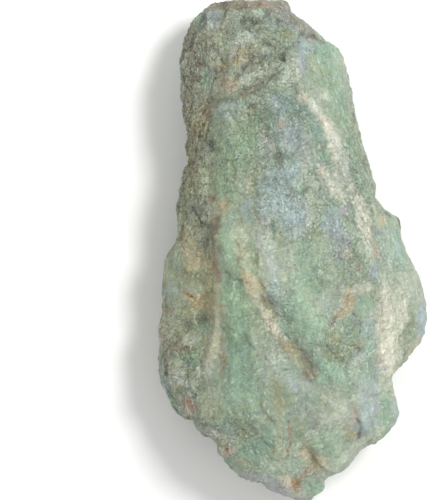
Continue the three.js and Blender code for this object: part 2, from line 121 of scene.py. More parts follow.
def profile(knots, y):
    """Monotone cubic curve through (value, y) knots, listed from the head to the foot."""
    value, place = np.array(knots[::-1], float).T
    gap = np.diff(place)
    slope = np.diff(value) / gap
    before, after = 2 * gap[1:] + gap[:-1], gap[1:] + 2 * gap[:-1]
    steady = slope[:-1] * slope[1:] > 0
    pull = np.where(steady, before / np.where(steady, slope[:-1], 1)
                    + after / np.where(steady, slope[1:], 1), np.inf)
    tangent = np.concatenate([slope[:1], (before + after) / pull, slope[-1:]])
    k = np.clip(np.searchsorted(place, y) - 1, 0, len(slope) - 1)
    t = (y - place[k]) / gap[k]
    return ((1 + 2 * t) * (1 - t) ** 2 * value[k] + t * (1 - t) ** 2 * gap[k] * tangent[k]
            + t * t * (3 - 2 * t) * value[k + 1] + t * t * (t - 1) * gap[k] * tangent[k + 1])


def hashed(cell, seed):
    """A well mixed 32-bit number for each whole-number cell."""
    with np.errstate(over="ignore"):
        mixed = (cell @ CELL_FACTORS + seed * SEED_FACTOR).astype(np.uint32)
        for shift, factor in SCRAMBLE:
            mixed = (mixed ^ (mixed >> np.uint32(shift))) * np.uint32(factor)
    return mixed ^ (mixed >> np.uint32(16))


def three(mixed):
    """Three numbers between -1 and 1 from one hashed number: its lowest thirty bits by tens."""
    shifts = np.array([0, 10, 20], np.uint32)
    return ((mixed[..., None] >> shifts) & np.uint32(1023)) / 511.5 - 1


def noise(p, size, seed):
    """Gradient noise, about -1 to 1, with swells `size` apart."""
    place = p / size
    low = np.floor(place).astype(np.int64)
    part = place - low
    fade = part ** 3 * (part * (part * 6 - 15) + 10)
    total = np.zeros(p.shape[:-1])
    for corner in np.ndindex(2, 2, 2):
        share = np.prod(np.where(np.array(corner) == 1, fade, 1 - fade), -1)
        total += share * (three(hashed(low + corner, seed)) * (part - corner)).sum(-1)
    return NOISE_GAIN * total


def smooth_edge(knots, y):
    """An edge averaged along the length, over a shorter stretch near the tips."""
    reach = np.minimum(EDGE_SMOOTHING, REACH_AT_TIP * (HALF_LENGTH - np.abs(y)))
    shifts = range(-EDGE_STEPS, EDGE_STEPS + 1)
    return sum(profile(knots, y + shift / EDGE_STEPS * reach) for shift in shifts) / len(shifts)


def tip(y):
    """Share of its full height that a section keeps as the ends close."""
    power = np.where(y > 0, HEAD_POWER, FOOT_POWER)
    return np.sqrt(np.maximum(1 - np.minimum(np.abs(y) / HALF_LENGTH, 1) ** power, 0))


def oval(side, power):
    """Height of a flattened oval at side, from -1 at the left edge to 1 at the right."""
    return np.maximum(1 - np.abs(side) ** power, 0) ** (1 / power)


def section(side, y):
    """Waist, front and back heights of the plain body in the section at y."""
    waist = (profile(WAIST_LEFT, y) * (1 - side) + profile(WAIST_RIGHT, y) * (1 + side)) / 2
    front = profile(RISE, y) * tip(y) * oval(side, profile(BOXINESS, y))
    back = profile(FALL, y) * tip(y) * oval(side, BACK_POWER)
    return waist, waist + front, waist - back


def section_at(x, y):
    """The same three heights at any x and y."""
    left, right = smooth_edge(LEFT_EDGE, y), smooth_edge(RIGHT_EDGE, y)
    return section(np.clip((2 * x - left - right) / (right - left), -1, 1), y)


def lower(a, b):
    """The smaller of two heights, rounded over where they meet."""
    return np.minimum(a, b) - np.maximum(FACE_BLEND - np.abs(a - b), 0) ** 2 / (4 * FACE_BLEND)


def cut_by_faces(heights, ground, faces, way, seed):
    """Cuts heights (times way: 1 in front, -1 behind) by a plane for each face.

    The plane touches the plain body at the face's place and is then sunk by its depth. Its own
    slow noise makes the edges between two faces wander.
    """
    step = 0.4
    for k, (x, y, depth) in enumerate(faces):
        around = np.array([(x, y), (x + step, y), (x - step, y), (x, y + step), (x, y - step)])
        touch, right, left, up, down = way * section_at(*around.T)[1 if way > 0 else 2]
        plane = (touch - depth + (right - left) / (2 * step) * (ground[..., 0] - x)
                 + (up - down) / (2 * step) * (ground[..., 1] - y))
        heights = lower(heights, plane + way * FACE_WAVE * noise(ground, FACE_WAVE_SIZE, seed + k))
    return heights


def row_places():
    """Rows lie closer together where the edges or the height change fast."""
    y = np.linspace(HALF_LENGTH, -HALF_LENGTH, FINE_ROWS)
    lines = (profile(LEFT_EDGE, y), profile(RIGHT_EDGE, y), profile(RISE, y) * tip(y))
    steepest = np.max([np.abs(np.diff(line)) for line in lines], 0)
    run = np.concatenate([[0], np.cumsum(np.hypot(np.diff(y), steepest))])
    return np.interp(np.linspace(0, run[-1], ROWS + 1), run, y)


def half_section(count, power, height):
    """Sides, from 1 to -1, of evenly spaced columns over half of a typical section."""
    cosine = np.cos(np.linspace(0, np.pi, FINE_COLUMNS))
    side = np.sign(cosine) * np.abs(cosine) ** (2 / power)
    steps = np.hypot(np.diff(side) * TYPICAL_WIDTH, np.diff(oval(side, power)) * height)
    run = np.concatenate([[0], np.cumsum(steps)])
    return np.interp(run[-1] * np.arange(count) / count, run, side)


def body_grid():
    """The faceted body: a row of points round the section at each of the row places."""
    y = row_places()[:, None]
    front_count = round(COLUMNS * FRONT_SHARE)
    side = np.concatenate([half_section(front_count, FRONT_POWER, TYPICAL_RISE),
                           -half_section(COLUMNS - front_count, BACK_POWER, TYPICAL_FALL)])
    left, right = smooth_edge(LEFT_EDGE, y), smooth_edge(RIGHT_EDGE, y)
    notch = np.where(side < 0, profile(LEFT_EDGE, y) - left, profile(RIGHT_EDGE, y) - right)
    x = (left + right) / 2 + (right - left) / 2 * side + notch * np.abs(side) ** EDGE_POWER
    waist, front, back = section(side + 0 * y, y)
    ground = np.stack([x, y + 0 * x, waist], -1)
    cut_front = cut_by_faces(front, ground, FRONT_FACES, 1, FRONT_SEED)
    cut_back = -cut_by_faces(-back, ground, BACK_FACES, -1, BACK_SEED)
    cut_front = np.maximum(cut_front, waist + LEAST_RISE * (front - waist))
    cut_back = np.minimum(cut_back, waist + LEAST_RISE * (back - waist))
    is_front = np.arange(COLUMNS) < front_count
    return np.stack([x, y + 0 * x, np.where(is_front, cut_front, cut_back)], -1)


# ---------------------------------------------------------------- minerals of the stone
# Green and blue-grey zoisite, cream and tan veins, and brown, rust and dark weathering. The dark and
# brown colours also paint shade in hollows, pits and along the left edge. Each has one colour here, and
# the cracks and the patches name the ones that they hold.

def linear(code):
    """A hex sRGB colour as linear red, green and blue."""
    srgb = np.array([int(code[k:k + 2], 16) for k in (1, 3, 5)]) / 255
    return np.where(srgb <= 0.04045, srgb / 12.92, ((srgb + 0.055) / 1.055) ** 2.4)


PALETTE = np.array([linear(code) for code in (
    "#99A48E", "#829D83", "#8EAE93", "#6E8B79", "#98ABAB", "#A2A3A7", "#B4BDA8", "#D0CFBC",
    "#BBA988", "#AA9568", "#868A66", "#827861", "#5A6151", "#9C6F58", "#B39886")])
(SAGE, GREEN, BRIGHT, TEAL, BLUE, LAVENDER, PALE, CREAM,
 TAN, OCHRE, OLIVE, UMBER, DARK, RUST, PINK) = range(len(PALETTE))


# ---------------------------------------------------------------- broken and weathered skin
# Ridges, valleys, knobs and a hollow shape the front. The rock has split along its grain, chipped
# where it broke, and weathered to a lumpy crust. Placed lines and lumps make what can be told apart
# on the front, and layers of noise and scoops make the rest, all round.

# ridges and valleys of the front: height, half width, points
STROKES = [
    # valley under the head, the rib above it, and the cleft that runs up to the shoulder
    (-0.8, 1.2, [(-22.4, 31.5), (-18.4, 34.3), (-14.1, 35), (-10.3, 36.9), (-7.4, 39.1),
                  (-4.4, 41.5)]),
    (1.0, 1.6, [(-13.6, 37.2), (-10.3, 40), (-7, 42.6), (-4.1, 43.8)]),
    (-0.5, 1.2, [(-15.3, 38.6), (-11.7, 42.9), (-8.4, 44.6), (-5.1, 45.3), (-2.9, 45)]),
    (-0.8, 1.3, [(-3.4, 44.1), (-1.3, 46.7), (0.9, 48.8)]),
    (-0.8, 1.2, [(0.9, 48.8), (2.5, 50.5), (6.6, 49.6)]),
    (0.7, 1.5, [(-18.4, 32.4), (-9.4, 34.6), (-2.7, 39.6), (2.1, 45.3)]),
    # ridge between the face and the right flank, and the vein beside it
    (1.0, 1.4, [(6.8, 37.7), (11.6, 29.1), (14, 17.7), (19.2, 7.2), (24, -2.1)]),
    (0.8, 1.4, [(0.9, 37.7), (4.5, 32.4), (8.7, 26.7), (12.1, 15.5), (13.5, 10.8)]),
    # long ridge of the middle, and the groove on its right that deepens into a pocket
    (0.7, 1.6, [(-12.7, -0.9), (-10.8, -8.3), (-8.2, -13.3), (-4.6, -18.8), (-0.8, -23.8)]),
    (-0.4, 1.3, [(-9.4, -2.8), (-7.4, -9), (-5.3, -12.8), (-3.4, -16.1)]),
    (-1.1, 1.6, [(-2.9, -17.1), (-0.8, -20.9), (1.6, -24.2), (3.5, -27.6)]),
    # smooth lobes right of the groove
    (1.6, 3.1, [(-2.2, -10.9), (1.6, -14.7), (8.3, -21.8)]),
    (1.4, 2.4, [(5.4, -24.2), (11.6, -31.4)]),
    # pale band of the right flank
    (1.0, 2.6, [(20.2, -8.3), (22.5, -21.4), (22.1, -28.5)]),
    (-0.7, 1.2, [(25.9, -11.9), (26.3, -19), (25.4, -24.2)]),
    (-0.3, 1.1, [(20.4, -12.6), (20.6, -23.8)]),
    # trough left of the middle, between two ridges
    (-1.3, 2.8, [(-13.2, -9), (-12.2, -21.4), (-10.8, -33.7)]),
    (1.0, 1.4, [(-17.7, -9), (-18.2, -19.9), (-20.8, -29)]),
    (0.8, 2.1, [(-8.4, -16.1), (-4.1, -28.5), (-1.7, -33.7)]),
    # notches of the foot and the right edge
    (-1.2, 1.3, [(1.6, -44.7), (5.4, -50.9), (7.3, -53.3)]),
    (-1.2, 1.4, [(25.4, -27.8), (22.1, -31.8), (20.4, -35.7)]),
    (-0.9, 1.2, [(21.6, 11.2), (15.9, 14.3)])]

# how placed lines and patches are frayed: reach, size of the swells, and seed
FRAY = (0.7, 4.5, 40)
FINE_FRAY = (0.4, 1.7, 42)
GROUND_FRAY = (0.8, 4, 44)

# lumps and hollows of the front: height, x, y, half width, half length
LUMPS = [
    # head
    (1.0, -8.2, 55.0, 2.1, 1.5), (1.0, -15.1, 45.3, 5.2, 5.2), (0.8, 8.7, 42.9, 4.3, 6.2),
    # upper face
    (0.8, -13.9, 25.0, 3.8, 5.2), (-0.9, 6.8, 22.2, 1.4, 2.1), (0.7, -5.5, 8.4, 5.2, 6.2),
    (-0.8, -21.0, 3.6, 2.1, 3.3), (1.0, -15.5, 1.0, 2.9, 6.4),
    # pocket at the end of the groove, and the rough hollow on the right
    (-1.0, 3.5, -28.0, 1.9, 3.1), (-1.5, 13.0, -22.6, 5.0, 4.5), (0.9, 15.9, -9.0, 3.3, 1.9),
    # knobs of the lower left edge
    (0.7, -28.2, -9.5, 2.9, 3.3), (1.6, -25.6, -22.4, 2.9, 2.2), (1.5, -28.0, -30.0, 2.4, 3.0),
    (0.7, -24.6, -35.0, 2.6, 2.4), (0.6, -23.2, -28.0, 2.1, 2.6), (0.9, -25.3, -38.0, 1.7, 1.4),
    # foot
    (1.0, -16.0, -47.3, 1.9, 1.9), (0.8, -4.6, -41.6, 3.3, 7.6)]

# cracks, splits and small ledges, too fine for the solid: height, half width, the colour they
# are stained with, points
CRACKS = [
    # head
    # this crack runs round the foot of the small knob, and its dark stain is painted shadow under the
    # knob
    (-0.5, 0.5, DARK, [(-12, 54.8), (-9.8, 53.1), (-7.4, 53.6), (-6.3, 55.5)]),
    (-0.52, 0.4, DARK, [(-12.7, 53.1), (-10.3, 50.5), (-7.4, 48.1), (-5.3, 47.6)]),
    (-0.38, 0.4, RUST, [(-13.6, 57.4), (-10.3, 56.9), (-8.4, 57.6), (-5.8, 57.2)]),
    (-0.38, 0.3, DARK, [(-4.6, 53.4), (-2.9, 53.8), (-1.3, 53.1)]),
    (-0.35, 0.4, UMBER, [(-18.4, 35.3), (-16, 34.6), (-13.6, 35.3), (-11, 36.7), (-9.1, 37.9)]),
    (-0.25, 0.4, UMBER, [(-8.6, 38.6), (-6.7, 40), (-4.6, 40.7)]),
    (-0.35, 0.4, DARK, [(-14.4, 39.6), (-12.7, 41.2), (-10.8, 43.1), (-8.4, 44.6), (-6, 45.3)]),
    (-0.45, 0.4, DARK, [(-2.5, 45.5), (-0.8, 47.6), (0.9, 48.8)]),
    (-0.45, 0.4, UMBER, [(1.6, 50.7), (3.5, 50.5), (5.4, 50.3), (6.6, 49.3)]),
    (-0.52, 0.5, DARK, [(-21.5, 55.5), (-20.8, 52.9)]),
    (-0.3, 0.35, UMBER, [(-25.5, 44.8), (-24.8, 40.5), (-24.3, 35.7), (-24.1, 32.4)]),
    (-0.38, 0.3, UMBER, [(-23.2, 47.2), (-22.4, 43.4), (-22.2, 39.6)]),
    (-0.38, 0.3, DARK, [(-17, 44.8), (-15.5, 42.4), (-13.6, 41)]),
    # upper face
    (-0.6, 0.5, DARK, [(-20.8, 25.5), (-19.8, 24.3), (-18.2, 22.9)]),
    (-0.38, 0.3, UMBER, [(-20.8, 34.8), (-21.3, 30), (-22.4, 25.3), (-23.6, 20)]),
    (-0.38, 0.3, UMBER, [(-19.3, 31.9), (-20.3, 28.1), (-21.5, 23.8)]),
    (-0.45, 0.4, DARK, [(-2.2, 12.4), (-0.3, 11.7), (1.4, 12.4), (2.3, 13.6)]),
    (-0.52, 0.5, DARK, [(-7.4, 16.9), (-6.3, 15.8), (-4.8, 16.7)]),
    (-0.38, 0.4, TEAL, [(-5.5, 5.3), (-4.8, 2.9)]),
    (-0.38, 0.4, UMBER, [(-15.1, 20.5), (-14.1, 18.6), (-14.4, 16.7)]),
    (-0.38, 0.35, RUST, [(-20.1, 13.1), (-19.1, 11.5)]),
    (-0.38, 0.35, RUST, [(-15.3, 11), (-17, 8.4), (-18.6, 6.5)]),
    (-0.52, 0.4, DARK, [(-23.6, 10), (-22.4, 7.7), (-20.8, 5.8), (-18.9, 4.3)]),
    (-0.3, 0.3, DARK, [(-8.9, 31.5), (-7.4, 29.3), (-6.5, 26.2)]),
    (-0.3, 0.3, DARK, [(1.6, 32.9), (3.3, 30.5), (5.2, 28.4)]),
    # middle
    (-0.52, 0.4, UMBER, [(-13.6, 1.5), (-12.7, -0.7), (-13.4, -2.8), (-14.4, -4.2)]),
    (-0.4, 0.4, OLIVE, [(-9.4, 0), (-9.1, -2.8), (-9.8, -4.7), (-8.6, -7.1), (-7.2, -9.9),
                         (-5.3, -12.8)]),
    (-0.38, 0.35, UMBER, [(-11.3, -6.9), (-10.8, -8.8), (-9.6, -10.2)]),
    (-0.38, 0.4, TEAL, [(-17.7, -3), (-16.5, -5.2), (-14.6, -6.9), (-12.9, -7.3)]),
    (-0.28, 0.35, OLIVE, [(-12.2, -18), (-10.3, -21.8), (-8.9, -24.2), (-7.4, -28)]),
    (-0.52, 0.45, UMBER, [(-2.2, -19.5), (0.2, -22.3), (2.1, -24.7), (3.7, -27.6)]),
    (-0.3, 0.3, RUST, [(-18.4, -2.8), (-17.9, -5.2), (-17.4, -7.1)]),
    (-0.3, 0.3, OLIVE, [(3, -0.9), (4.5, -4.7), (6.4, -9)]),
    # round the rough hollow, and beside the pale band
    (-0.4, 0.45, RUST, [(13, -8.5), (12.5, -11.4), (11.6, -14.5), (9.2, -16.4)]),
    (-0.38, 0.35, DARK, [(13.3, -14.7), (14.4, -16.1), (15.2, -19)]),
    (-0.38, 0.35, DARK, [(6.6, -21.4), (8.5, -24), (11.4, -25.9), (12.1, -29.7), (14, -31.8)]),
    (-0.3, 0.3, DARK, [(11.6, -26.1), (14.2, -24.7), (15.9, -22.6)]),
    (-0.3, 0.3, OLIVE, [(7.8, -19), (10.6, -22.1), (15.2, -22.8)]),
    (-0.38, 0.4, OLIVE, [(26.3, -18), (25.9, -21.8), (26.1, -25.2)]),
    # lower left knobs
    (-0.3, 0.35, UMBER, [(-26.3, -5.2), (-23.9, -6.4), (-21.5, -8.3)]),
    (-0.38, 0.35, RUST, [(-25.5, -10.4), (-23.4, -11.4), (-22, -12.8)]),
    (-0.68, 0.5, DARK, [(-20.8, -16.4), (-22.9, -17.1), (-25.3, -19), (-27.4, -20.7)]),
    (-0.68, 0.5, UMBER, [(-27.4, -20.9), (-29.8, -23.8), (-30.8, -26.6), (-30.5, -29.5),
                          (-29.3, -32.8)]),
    (-0.38, 0.35, DARK, [(-25.3, -28.8), (-25.1, -31.8), (-23.2, -35.2)]),
    (-0.3, 0.3, UMBER, [(-18.9, -24.2), (-16.5, -26.6), (-17, -30.4)]),
    # foot
    (-0.38, 0.3, OLIVE, [(-8.4, -36.1), (-7, -39), (-4.6, -40.2)]),
    (-0.38, 0.3, DARK, [(-9.8, -41.4), (-7.9, -42.1), (-7, -44.7), (-5.5, -46.8)]),
    (-0.4, 0.24, RUST, [(-1.5, -40.4), (-0.8, -42.8), (-0.8, -45.4), (-1.7, -47.3), (-2.2, -49)]),
    (-0.38, 0.35, TAN, [(-5.8, -45.4), (-4.8, -47.8), (-3.6, -48.7), (-2.5, -49)]),
    (-0.4, 0.35, UMBER, [(2.3, -46.1), (4.5, -49.2), (5.6, -51.6), (6.6, -54.5)]),
    (-0.38, 0.35, UMBER, [(14.2, -37.1), (14.4, -40.4), (14.9, -42.8), (14, -45.2), (12.3, -45.6)]),
    (-0.38, 0.3, DARK, [(8.3, -38), (7.3, -39.9)]),
    (-0.38, 0.3, DARK, [(18.7, -39.9), (19, -43.3), (17.3, -46.1)]),
    (-0.3, 0.3, TAN, [(3.3, -51.4), (2.1, -53.7)]),
    (-0.38, 0.4, LAVENDER, [(-17, -42.8), (-19.3, -41.8), (-22.2, -41.1)]),
    (0.3, 0.45, SAGE, [(-11.3, -40.4), (-8.9, -41.4), (-7.2, -43.7)])]
# small pits and bumps: height, x, y, half width, half length
PITS = [
    (-1.0, -2.9, 44.8, 0.5, 1.0), (0.8, -16.7, 56.5, 1.4, 1.8), (0.6, -16.5, 53.1, 1.6, 1.9),
    (0.7, -17.2, 48.8, 2.2, 2.4), (0.5, -17.9, 43.8, 2.4, 2.2), (0.6, -20.8, 52.2, 1.6, 1.6),
    (-0.8, -19.3, 24.8, 1.0, 0.7), (-0.7, -21.7, 26.5, 0.6, 0.5), (-0.7, -3.9, 21.5, 1.1, 1.2),
    (-0.6, -6.5, 16.2, 1.2, 0.8), (-0.5, 8.5, -17.1, 0.8, 0.7), (-0.9, -25.3, -23.3, 0.8, 0.6),
    (-0.7, -19.8, -9.7, 0.35, 0.35), (-1.2, -15.8, -47.3, 0.5, 0.5), (-0.4, 0.9, -55.6, 0.9, 0.9),
    (-0.6, 14.4, -38, 0.5, 0.7), (0.5, 0.6, 14.6, 1.6, 1.6), (0.5, -3.4, -48, 1.6, 1.2)]

# the grain of the rock fans out from the head: its middle line and half width
GRAIN_MIDDLE = [(-9, 59.1), (-6, 30), (-1, 0), (0, -25), (1, -59.1)]
GRAIN_WIDTH = [(15, 59.1), (19.5, 30), (26, 0), (30, -25), (20, -59.1)]
GRAIN_FULL_WIDTH = 25
GRAIN_STRETCH = 4

# strength of the grown relief: this on the edges, 1 in front, and this much more behind than on the
# edges. Then how far the skin has turned to the front, or to the back, where that sets in and is full
EDGE_STRENGTH = 0.3
BACK_STRENGTH = 1.3
FRONT_SHARES = (0, 0.5)
BACK_SHARES = (0.1, 0.5)
# the same for placed relief and placed ground, which are made in front only
RELIEF_TURN = (-0.1, 0.35)
GROUND_TURN = (-0.1, 0.3)

# weathered ground, and ground split along the grain: x, y, reach in x, reach in y, how much
ROUGH_GROUND = [
    (-12, 47, 15, 13, 0.65), (-25, 48, 5, 14, 1.0), (-24, 22, 5.5, 25, 0.85),
    (-9, 26, 14, 14, 0.5), (0, 13, 13, 13, 0.4), (13, 4, 8, 14, 0.35),
    (-28, -27, 8, 15, 0.6), (12, -21, 7, 7, 0.3), (-6, -52, 13, 8, 0.2),
    (-17, -44, 8, 6, 0.4), (-4, -17, 4, 8, 0.5), (23, -18, 6, 14, 0.15), (15, 18, 4, 18, 0.45)]
FIBROUS_GROUND = [
    (-24, 18, 5, 22, 1.0), (-27, -8, 7, 12, 0.4), (16, 20, 5, 24, 0.8), (23, -17, 5, 14, 0.7),
    (-12, -22, 6, 14, 0.4), (2, -18, 9, 12, 0.3), (-2, -46, 14, 12, 0.2)]

# elsewhere the ground changes in drifts: their size, the least amount, and the levels of noise
# between which it grows to the full
GROUND_DRIFT = 16
GROUND_LEAST = 0.2
GROUND_LEVELS = (-0.3, 0.5)
ROUGH_SEED = 11
FIBROUS_SEED = 12

# relief that grows by itself. Each layer has a height, a size and a seed
SWELLS = [(0.9, 13, 1), (0.45, 6, 2)]
CHIPS = [(1.8, 10, 3)]
SPLINTERS = [(1.1, 5, 4)]
CRUST = [(0.8, 4.0, 5), (0.65, 2.0, 9), (0.45, 1.1, 13)]
FLAKES = [(0.5, 3.2, 6), (0.25, 1.5, 17)]
FIBRES = [(0.5, 1.6, 7)]
CHIP_LEVEL = 0.35
CRUST_LEVEL = 0.45
CRUST_PUSH = 0.4
CRUST_PUSH_SIZE = 0.8
# how late the crust sets in as the ground gets rougher, how much of the flakes it covers, and the
# fine unevenness of the whole skin, which is stronger on the crust
CRUST_ONSET = 1.5
FLAKES_COVERED = 0.6
UNEVEN_SIZE = 0.8
UNEVEN_SEED = 8
UNEVEN = 0.1
UNEVEN_ON_CRUST = 0.16
# cracks are deeper in some places and nearly closed in others. Valleys count a little as hollows
CRACK_DEPTH = 0.9
CRACK_SWING = [(0.8, 3, 18)]
VALLEY_SHARE = 0.15


def ease(value, low, high):
    """0 below low, 1 above high, and a smooth step between them."""
    t = np.clip((value - low) / (high - low), 0, 1)
    return t * t * (3 - 2 * t)


def scoops(p, size, seed):
    """Shallow bowls that meet at sharp ridges: 0 in the deepest, about 1 on the ridges.

    It is the squared distance to the nearest of many scattered middles, each with an allowance
    of its own, so that the bowls differ in width.
    """
    place = p / size
    low = np.floor(place).astype(np.int64)
    nearest = np.full(p.shape[:-1], 9.0)
    for step in np.ndindex(3, 3, 3):
        cell = low + np.array(step) - 1
        mixed = hashed(cell, seed)
        away = place - cell - 0.5 - 0.5 * three(mixed)
        nearest = np.minimum(nearest, (away ** 2).sum(-1) + 0.25 * (mixed >> np.uint32(30)) / 3)
    return nearest


def bowls(p, size, seed):
    """Scoops about the level that leaves the skin, on the whole, where it was."""
    return scoops(p, size, seed) - CHIP_LEVEL


def layers(kind, p, rows):
    """The sum of layers of one kind of relief."""
    return sum(height * kind(p, size, seed) for height, size, seed in rows)


def grid_normals(p):
    """Outward normals of the grid: the columns close on themselves, the end rows are tips."""
    across = np.roll(p, -1, 1) - np.roll(p, 1, 1)
    normals = np.cross(across, np.gradient(p, axis=0))
    normals[0], normals[-1] = (0, 1, 0), (0, -1, 0)
    return normals / np.maximum(np.linalg.norm(normals, axis=-1, keepdims=True), 1e-9)


def distance_to_line(x, y, points):
    """How far each place is from a line through the points."""
    nearest = np.full(x.shape, np.inf)
    for (ax, ay), (bx, by) in zip(points[:-1], points[1:]):
        run_x, run_y = bx - ax, by - ay
        t = np.clip(((x - ax) * run_x + (y - ay) * run_y) / (run_x ** 2 + run_y ** 2), 0, 1)
        nearest = np.minimum(nearest, np.hypot(x - ax - t * run_x, y - ay - t * run_y))
    return nearest


def placed_relief(p, normals, strokes, lumps):
    """The highest ridge plus the deepest hollow at each point, on skin turned to the front."""
    x, y = p[..., 0], p[..., 1]
    shapes = [height * np.exp(-(distance_to_line(x, y, points) / width) ** 2)
              for height, width, *_, points in strokes]
    shapes += [height * np.exp(-((x - a) / wide) ** 2 - ((y - b) / long) ** 2)
               for height, a, b, wide, long in lumps]
    ridge, hollow = np.maximum(np.max(shapes, 0), 0), np.minimum(np.min(shapes, 0), 0)
    return (ridge + hollow) * ease(normals[..., 2], *RELIEF_TURN)


def grain_points(p):
    """The points in coordinates that follow the grain, squeezed along its length."""
    inside = np.clip(p[..., 1], -HALF_LENGTH, HALF_LENGTH)
    across = (p[..., 0] - profile(GRAIN_MIDDLE, inside)) / profile(GRAIN_WIDTH, inside)
    return np.stack([across * GRAIN_FULL_WIDTH, p[..., 1] / GRAIN_STRETCH, p[..., 2]], -1)


def frayed(p, reach, size, seed):
    """The points pushed about, so that placed lines and patches do not run smoothly."""
    shift = [reach * noise(p, size, seed), reach * noise(p, size, seed + 1), 0 * p[..., 0]]
    return p + np.stack(shift, -1)


def ground(p, normals, patches, seed):
    """How rough or fibrous the skin is: as placed in front, in broad drifts elsewhere."""
    placed = np.zeros(p.shape[:-1])
    x, y = np.moveaxis(frayed(p, *GROUND_FRAY)[..., :2], -1, 0)
    for a, b, wide, long, amount in patches:
        reach = ((x - a) / wide) ** 4 + ((y - b) / long) ** 4
        placed = np.maximum(placed, amount * np.exp(-reach))
    drift = ease(noise(p, GROUND_DRIFT, seed), *GROUND_LEVELS)
    elsewhere = GROUND_LEAST + (1 - GROUND_LEAST) * drift
    turned = ease(normals[..., 2], *GROUND_TURN)
    return placed * turned + elsewhere * (1 - turned)


def crust(p, size, seed):
    """Rounded lumps of uneven outline with narrow clefts between them: high on the lumps."""
    shift = [noise(p, CRUST_PUSH_SIZE * size, seed + k) for k in (1, 2, 3)]
    return CRUST_LEVEL - scoops(p + CRUST_PUSH * size * np.stack(shift, -1), size, seed)


def crack_points(p):
    """The points as the cracks see them: pushed about twice, so that no crack runs smoothly."""
    return frayed(frayed(p, *FRAY), *FINE_FRAY)


def stone_grid():
    """The finished skin, and how rough, how fibrous and how far sunk each of its points is."""
    p = body_grid()
    normals = grid_normals(p)
    strength = (EDGE_STRENGTH + (1 - EDGE_STRENGTH) * ease(normals[..., 2], *FRONT_SHARES)
                + BACK_STRENGTH * ease(-normals[..., 2], *BACK_SHARES))
    grown = layers(noise, p, SWELLS) + layers(bowls, p, CHIPS)
    grown = grown + layers(bowls, grain_points(p), SPLINTERS)
    ridges = placed_relief(frayed(p, *FRAY), normals, STROKES, LUMPS)
    height = ridges + strength * grown
    p = p + normals * height[..., None]

    normals = grid_normals(p)
    rough = ground(p, normals, ROUGH_GROUND, ROUGH_SEED)
    fibrous = ground(p, normals, FIBROUS_GROUND, FIBROUS_SEED)
    fibres = layers(bowls, grain_points(p), FIBRES)
    cracks = placed_relief(crack_points(p), normals, CRACKS, PITS)
    cracks = cracks * (CRACK_DEPTH + layers(noise, p, CRACK_SWING))
    fine = (cracks + rough ** CRUST_ONSET * layers(crust, p, CRUST)
            + (1 - FLAKES_COVERED * rough) * layers(bowls, p, FLAKES) + fibrous * fibres
            + (UNEVEN + UNEVEN_ON_CRUST * rough) * noise(p, UNEVEN_SIZE, UNEVEN_SEED))
    p = p + normals * fine[..., None]
    p[..., 2] = np.maximum(p[..., 2], 0)
    return p, rough, fibrous, -(fine + VALLEY_SHARE * np.minimum(height, 0))
